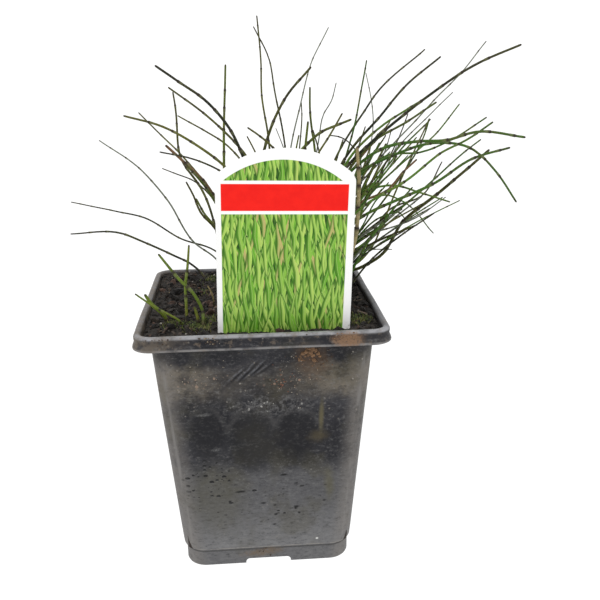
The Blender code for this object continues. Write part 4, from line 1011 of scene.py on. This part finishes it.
# --------------------------------------------------------------------- label
def label_outline(inset=0.0):
    half = LABEL_WIDTH / 2
    rise = LABEL_CROWN - LABEL_SHOULDER
    radius = (half ** 2 + rise ** 2) / (2 * rise)
    centre = LABEL_CROWN - radius
    sweep = math.asin(half / radius)
    pts = []
    # small rounding where the arch meets the sides
    corner = 1.3
    reach = sweep - corner / radius
    pts.append((half, LABEL_SHOULDER - 1.7))
    pts.append((half - 0.10, LABEL_SHOULDER - 0.95))
    pts.append((half - 0.45, LABEL_SHOULDER - 0.25))
    for k in range(49):
        a = reach * (1 - 2 * k / 48)
        pts.append((radius * math.sin(a), centre + radius * math.cos(a)))
    pts.append((-half + 0.45, LABEL_SHOULDER - 0.25))
    pts.append((-half + 0.10, LABEL_SHOULDER - 0.95))
    pts.append((-half, LABEL_SHOULDER - 1.7))
    down = -LABEL_STAKE
    pts += [(-half, -10.0), (-half * 0.55, down + 9.0), (-2.0, down), (2.0, down), (half * 0.55, down + 9.0), (half, -10.0)]
    if inset:
        arr = np.array(pts)
        nxt, prv = np.roll(arr, -1, 0), np.roll(arr, 1, 0)
        d = nxt - prv
        d /= np.linalg.norm(d, axis=1)[:, None]
        arr = arr + np.stack((-d[:, 1], d[:, 0]), 1) * inset
        pts = [tuple(p) for p in arr]
    return pts


def build_label(mat):
    t = LABEL_THICK / 2
    stack = [(0.30, -t), (0.08, -t * 0.85), (0.0, -t * 0.4), (0.0, t * 0.4), (0.08, t * 0.85), (0.30, t)]
    verts, uv, front = [], [], []
    for inset, z in stack:
        for x, y in label_outline(inset):
            verts.append((x, y, z))
            uv.append((x, y))
            front.append((1.0 if z > t * 0.5 else 0.0,) * 3)
    n = len(verts) // len(stack)
    faces = []
    for k in range(len(stack) - 1):
        for i in range(n):
            j = (i + 1) % n
            faces.append((k * n + i, k * n + j, (k + 1) * n + j, (k + 1) * n + i))
    faces.append(tuple(reversed(range(n))))
    faces.append(tuple(range((len(stack) - 1) * n, len(stack) * n)))
    place = (Matrix.Translation(Vector((LABEL_X, LABEL_Y, LABEL_Z)))
             @ Matrix.Rotation(math.radians(LABEL_ROLL), 4, "Y")
             @ Matrix.Rotation(math.radians(LABEL_LEAN), 4, "X")
             @ Matrix.Rotation(math.radians(90), 4, "X"))
    pts = [tuple(place @ Vector(v)) for v in verts]
    obj = new_object("plant_label", pts, faces, mat, np.array(front), uv=uv)
    outward(obj)
    obj.data.set_sharp_from_angle(angle=math.radians(50))
    return obj


# --------------------------------------------------------------------- stems
TONES = {
    "dark": ((0.0060, 0.0085, 0.0016), (0.150, 0.155, 0.020)),
    "green": ((0.030, 0.095, 0.006), (0.105, 0.215, 0.018)),
    "olive": ((0.056, 0.088, 0.007), (0.160, 0.200, 0.018)),
    "bright": ((0.075, 0.125, 0.010), (0.230, 0.300, 0.040)),
    "brown": ((0.085, 0.080, 0.028), (0.170, 0.150, 0.055)),
    "straw": ((0.300, 0.240, 0.110), (0.440, 0.370, 0.200)),
    "grey": ((0.105, 0.120, 0.090), (0.220, 0.240, 0.190)),
}
SIDES = 12
STOUT = 1.03                   # the ridges and sheaths stand a little proud


def smooth_path(points, count):
    pts = [np.array(p, float) for p in points]
    dist = [0.0]
    for a, b in zip(pts, pts[1:]):
        dist.append(dist[-1] + np.linalg.norm(b - a))
    unit = lambda v: v / np.linalg.norm(v)
    tangents = []
    for i in range(len(pts)):
        if i == 0:
            tangents.append(unit(0.55 * unit(pts[1] - pts[0]) + 0.45 * np.array((0, 0, 1.0))))
        elif i == len(pts) - 1:
            tangents.append(unit(pts[i] - pts[i - 1]))
        else:
            h0, h1 = dist[i] - dist[i - 1], dist[i + 1] - dist[i]
            v0, v1 = (pts[i] - pts[i - 1]) / h0, (pts[i + 1] - pts[i]) / h1
            tangents.append((v0 * h1 + v1 * h0) / (h0 + h1))
    out = []
    for k in range(count + 1):
        s = dist[-1] * k / count
        i = 0
        while i < len(pts) - 2 and s > dist[i + 1]:
            i += 1
        h = dist[i + 1] - dist[i]
        t = (s - dist[i]) / h
        out.append((2 * t ** 3 - 3 * t ** 2 + 1) * pts[i] + (t ** 3 - 2 * t ** 2 + t) * h * tangents[i]
                   + (3 * t ** 2 - 2 * t ** 3) * pts[i + 1] + (t ** 3 - t ** 2) * h * tangents[i + 1])
    return np.array(out)


def build_stem(entry, mat, number):
    """One jointed stem: ridged, with a dark toothed sheath at each joint."""
    name, radius, tone, (rx, ry), via = entry
    rand = random.Random(1000 + number)
    level = soil_height(rx, ry)
    above = smooth_path([(rx, ry, level)] + list(via), 60)
    path = np.vstack([np.array([(rx, ry, level - 6.0), (rx, ry, level - 3.0)]), above])
    seg = np.linalg.norm(np.diff(path, axis=0), axis=1)
    dist = np.concatenate([[0], np.cumsum(seg)])
    total = dist[-1]
    # joints, closer together towards the tip
    joints, s = [], 6.0 + rand.uniform(1.0, 5.0)
    while s < total - 2.5:
        joints.append(s)
        s += rand.uniform(8.5, 13.5) * (1.0 - 0.35 * s / total)
    # ring places: an even run, and a fixed pattern at each joint
    places = [(s, 1.0, 0.0, 0.0) for s in np.arange(0.0, total - 0.5, 2.2) if all(abs(s - j) > 1.9 for j in joints)]
    sheath = ((-1.7, 1.00, 0.0, 0.1), (-1.45, 1.12, 0.15, 0.9), (-0.75, 1.17, 0.10, 1.0), (-0.35, 1.22, 0.75, 0.3),
              (0.0, 1.26, 1.0, 0.0), (0.10, 1.00, 1.0, 0.0), (0.55, 0.95, 0.35, 0.0), (1.1, 0.98, 0.0, 0.0))
    for j in joints:
        for ds, swell, darkness, pale in sheath:
            if 0 < j + ds * max(radius / 0.45, 0.75) < total - 0.3:
                places.append((j + ds * max(radius / 0.45, 0.75), swell, darkness, pale))
    places += [(total - 0.45, 0.95, 0.6, 0.0), (total - 0.2, 0.8, 0.9, 0.0), (total, 0.45, 1.0, 0.0)]
    places.sort()
    low, high = (np.array(c) for c in TONES[tone])
    along = np.array([p[0] for p in places])
    centre = np.stack([np.interp(along, dist, path[:, k]) for k in range(3)], 1)
    # each joint turns the stem very slightly
    sway = np.zeros_like(centre)
    for k in range(2):
        knots = [0.0] + joints + [total]
        sway[:, k] = np.interp(along, knots, [0.0] + [rand.uniform(-0.14, 0.14) for _ in joints] + [0.0])
    centre = centre + sway
    tang = np.gradient(centre, along, axis=0)
    tang /= np.linalg.norm(tang, axis=1)[:, None] + 1e-12
    side = np.cross(tang[0], (0.2, 1.0, 0.1))
    verts, colors = [], []
    light = rand.uniform(0.0, 0.75)
    for k, (s, swell, darkness, pale) in enumerate(places):
        t = max(0.0, ((s - 6.0) / (total - 6.0) - 0.6) / 0.4)
        r = radius * (STOUT if tone != "bright" else 0.92) * (1 - 0.30 * t) * swell
        side = side - tang[k] * (side @ tang[k])
        side /= np.linalg.norm(side)
        up = np.cross(tang[k], side)
        grow = (s - 6.0) / max(total - 6.0, 1.0)
        body = low + (high - low) * np.clip(light + 0.35 * noise.noise(Vector((s * 0.12, number * 3.1, 0.0))), 0, 1)
        if tone == "brown" and grow > 0.55:
            body = body * (1 - grow) + np.array((0.15, 0.075, 0.035)) * grow
        if tone in ("green", "olive", "bright"):
            # young growth: patches that turn yellow, then brown
            dry = max(0.0, noise.noise(Vector((s * 0.10, number * 1.7, 40.0)))) * (1.3 if tone == "bright" else 0.55)
            body = body * (1 - min(dry, 0.7)) + np.array((0.17, 0.12, 0.030)) * min(dry, 0.7)
        if tone in ("dark", "green", "olive") and grow > 0.8:
            body = body * 0.8 + np.array((0.05, 0.035, 0.018)) * 0.2
        if s < 7.5:
            body = np.array((0.10, 0.085, 0.045))
        body = body * (1 - 0.35 * pale) + np.array((0.24, 0.25, 0.12)) * 0.35 * pale
        ring = body * (1 - darkness) + np.array((0.020, 0.012, 0.008)) * darkness
        for i in range(SIDES):
            a = 2 * math.pi * i / SIDES
            ridge = 1.0 + (0.05 if i % 2 else -0.05)
            verts.append(centre[k] + r * ridge * (math.cos(a) * side + math.sin(a) * up))
            # furrows painted darker as painted shade and ridges lighter as painted highlight, except on the dark
            # sheaths
            colors.append(ring * (0.86 if i % 2 == 0 and darkness < 0.5 else 1.08))
    faces = []
    for k in range(len(places) - 1):
        b = k * SIDES
        for i in range(SIDES):
            j = (i + 1) % SIDES
            faces.append((b + i, b + j, b + SIDES + j, b + SIDES + i))
    faces.append(tuple(reversed(range(SIDES))))
    faces.append(tuple(range(len(verts) - SIDES, len(verts))))
    obj = new_object(name.replace("stem_", "horsetail_"), np.array(verts), faces, mat, np.clip(np.array(colors), 0, 1))
    outward(obj)
    return obj


def thicket():
    """Young shoots that thicken the clump to the right of the label. They
    rise from between the main stems and lean out the same way."""
    rand = random.Random(64)
    out = []
    for k in range(50):
        rx, ry = rand.uniform(18, 32), rand.uniform(-16, 24)
        lean = rand.uniform(0.35, 1.35) if k % 3 else rand.uniform(1.3, 2.6)
        rise = rand.uniform(38, 64) if k % 3 else rand.uniform(20, 40)
        reach = min(rise * lean * 0.55, 78.0 - rx)
        turn = rand.uniform(-0.75, 0.45)
        dx, dy = math.cos(turn), math.sin(turn)
        via = []
        for f in (0.45, 0.75, 1.0):
            via.append((rx + dx * reach * f ** 1.5, ry + dy * reach * f ** 1.5 * 0.8, 97 + rise * f ** 0.9))
        tone = ("green", "green", "olive", "dark", "green", "olive")[k % 6] if k % 8 else "grey"
        out.append(("shoot_%02d" % (k + 1), rand.uniform(0.28, 0.46), tone, (rx, ry), via))
    return out


# --------------------------------------------------------------------- scene
def area_light(name, place, target, size, watts, color=(1, 1, 1)):
    data = bpy.data.lights.new(name, "AREA")
    data.shape, data.size, data.energy, data.color = "SQUARE", size, watts, color
    obj = bpy.data.objects.new(name, data)
    obj.location = place
    obj.rotation_euler = (Vector(target) - Vector(place)).to_track_quat("-Z", "Y").to_euler()
    bpy.context.scene.collection.objects.link(obj)


def studio():
    world = bpy.data.worlds.new("studio")
    bpy.context.scene.world = world
    world.use_nodes = True
    back = world.node_tree.nodes["Background"]
    back.inputs["Color"].default_value = (1.0, 1.0, 1.0, 1.0)
    back.inputs["Strength"].default_value = 1.12
    area_light("key", (-0.55, -0.75, 0.95), (0, 0, 0.08), 0.7, 3.2, (1.0, 0.99, 0.97))
    area_light("fill", (0.85, -0.55, 0.55), (0, 0, 0.08), 0.7, 1.1, (0.97, 0.98, 1.0))
    area_light("top", (0.05, 0.25, 1.15), (0, 0, 0.08), 0.9, 2.4)
    scene = bpy.context.scene
    scene.view_settings.view_transform = "Standard"
    scene.view_settings.look = "None"

    data = bpy.data.cameras.new("camera")
    data.sensor_width, data.lens = 36.0, 44.92
    data.clip_start, data.clip_end = 0.01, 50.0
    cam = bpy.data.objects.new("camera", data)
    yaw, pitch, roll = 0.075, 0.308, -0.011
    look = Vector((math.sin(yaw) * math.cos(pitch), math.cos(yaw) * math.cos(pitch), -math.sin(pitch)))
    right = look.cross(Vector((0, 0, 1))).normalized()
    up = right.cross(look)
    r2 = math.cos(roll) * right + math.sin(roll) * up
    u2 = -math.sin(roll) * right + math.cos(roll) * up
    m = Matrix((r2, u2, -look)).transposed().to_4x4()
    m.translation = Vector((-0.0053, -0.2819, 0.1876))
    cam.matrix_world = m
    scene.collection.objects.link(cam)
    scene.camera = cam


def main():
    studio()
    pot_mat = pot_material()
    pot = build_pot(pot_mat)
    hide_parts("pot")
    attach(pot, "root")
    mud = build_mud(tint_material("dried_mud", 0.85, 0.98, 1.8, 0.0004))
    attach(mud, "root")

    soil_mat = tint_material("compost", 0.80, 0.98, 1.2, 0.0009, vary=0.55)
    soil = build_soil(soil_mat)
    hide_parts("soil")
    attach(soil, "root")
    for piece in (build_crumbs(soil_mat), build_litter(tint_material("litter", 0.7, 0.95, 2.5, 0.0003)),
                  build_moss(tint_material("moss", 0.6, 0.9, 3.0, 0.0002))):
        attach(piece, "root")

    label = build_label(label_material())
    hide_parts("label")
    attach(label, "root")

    skin = stem_material()
    for number, entry in enumerate(STEMS + EXTRA + thicket()):
        stem = build_stem(entry, skin, number)
        if entry[0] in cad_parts:
            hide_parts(entry[0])
        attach(stem, "root")


main()
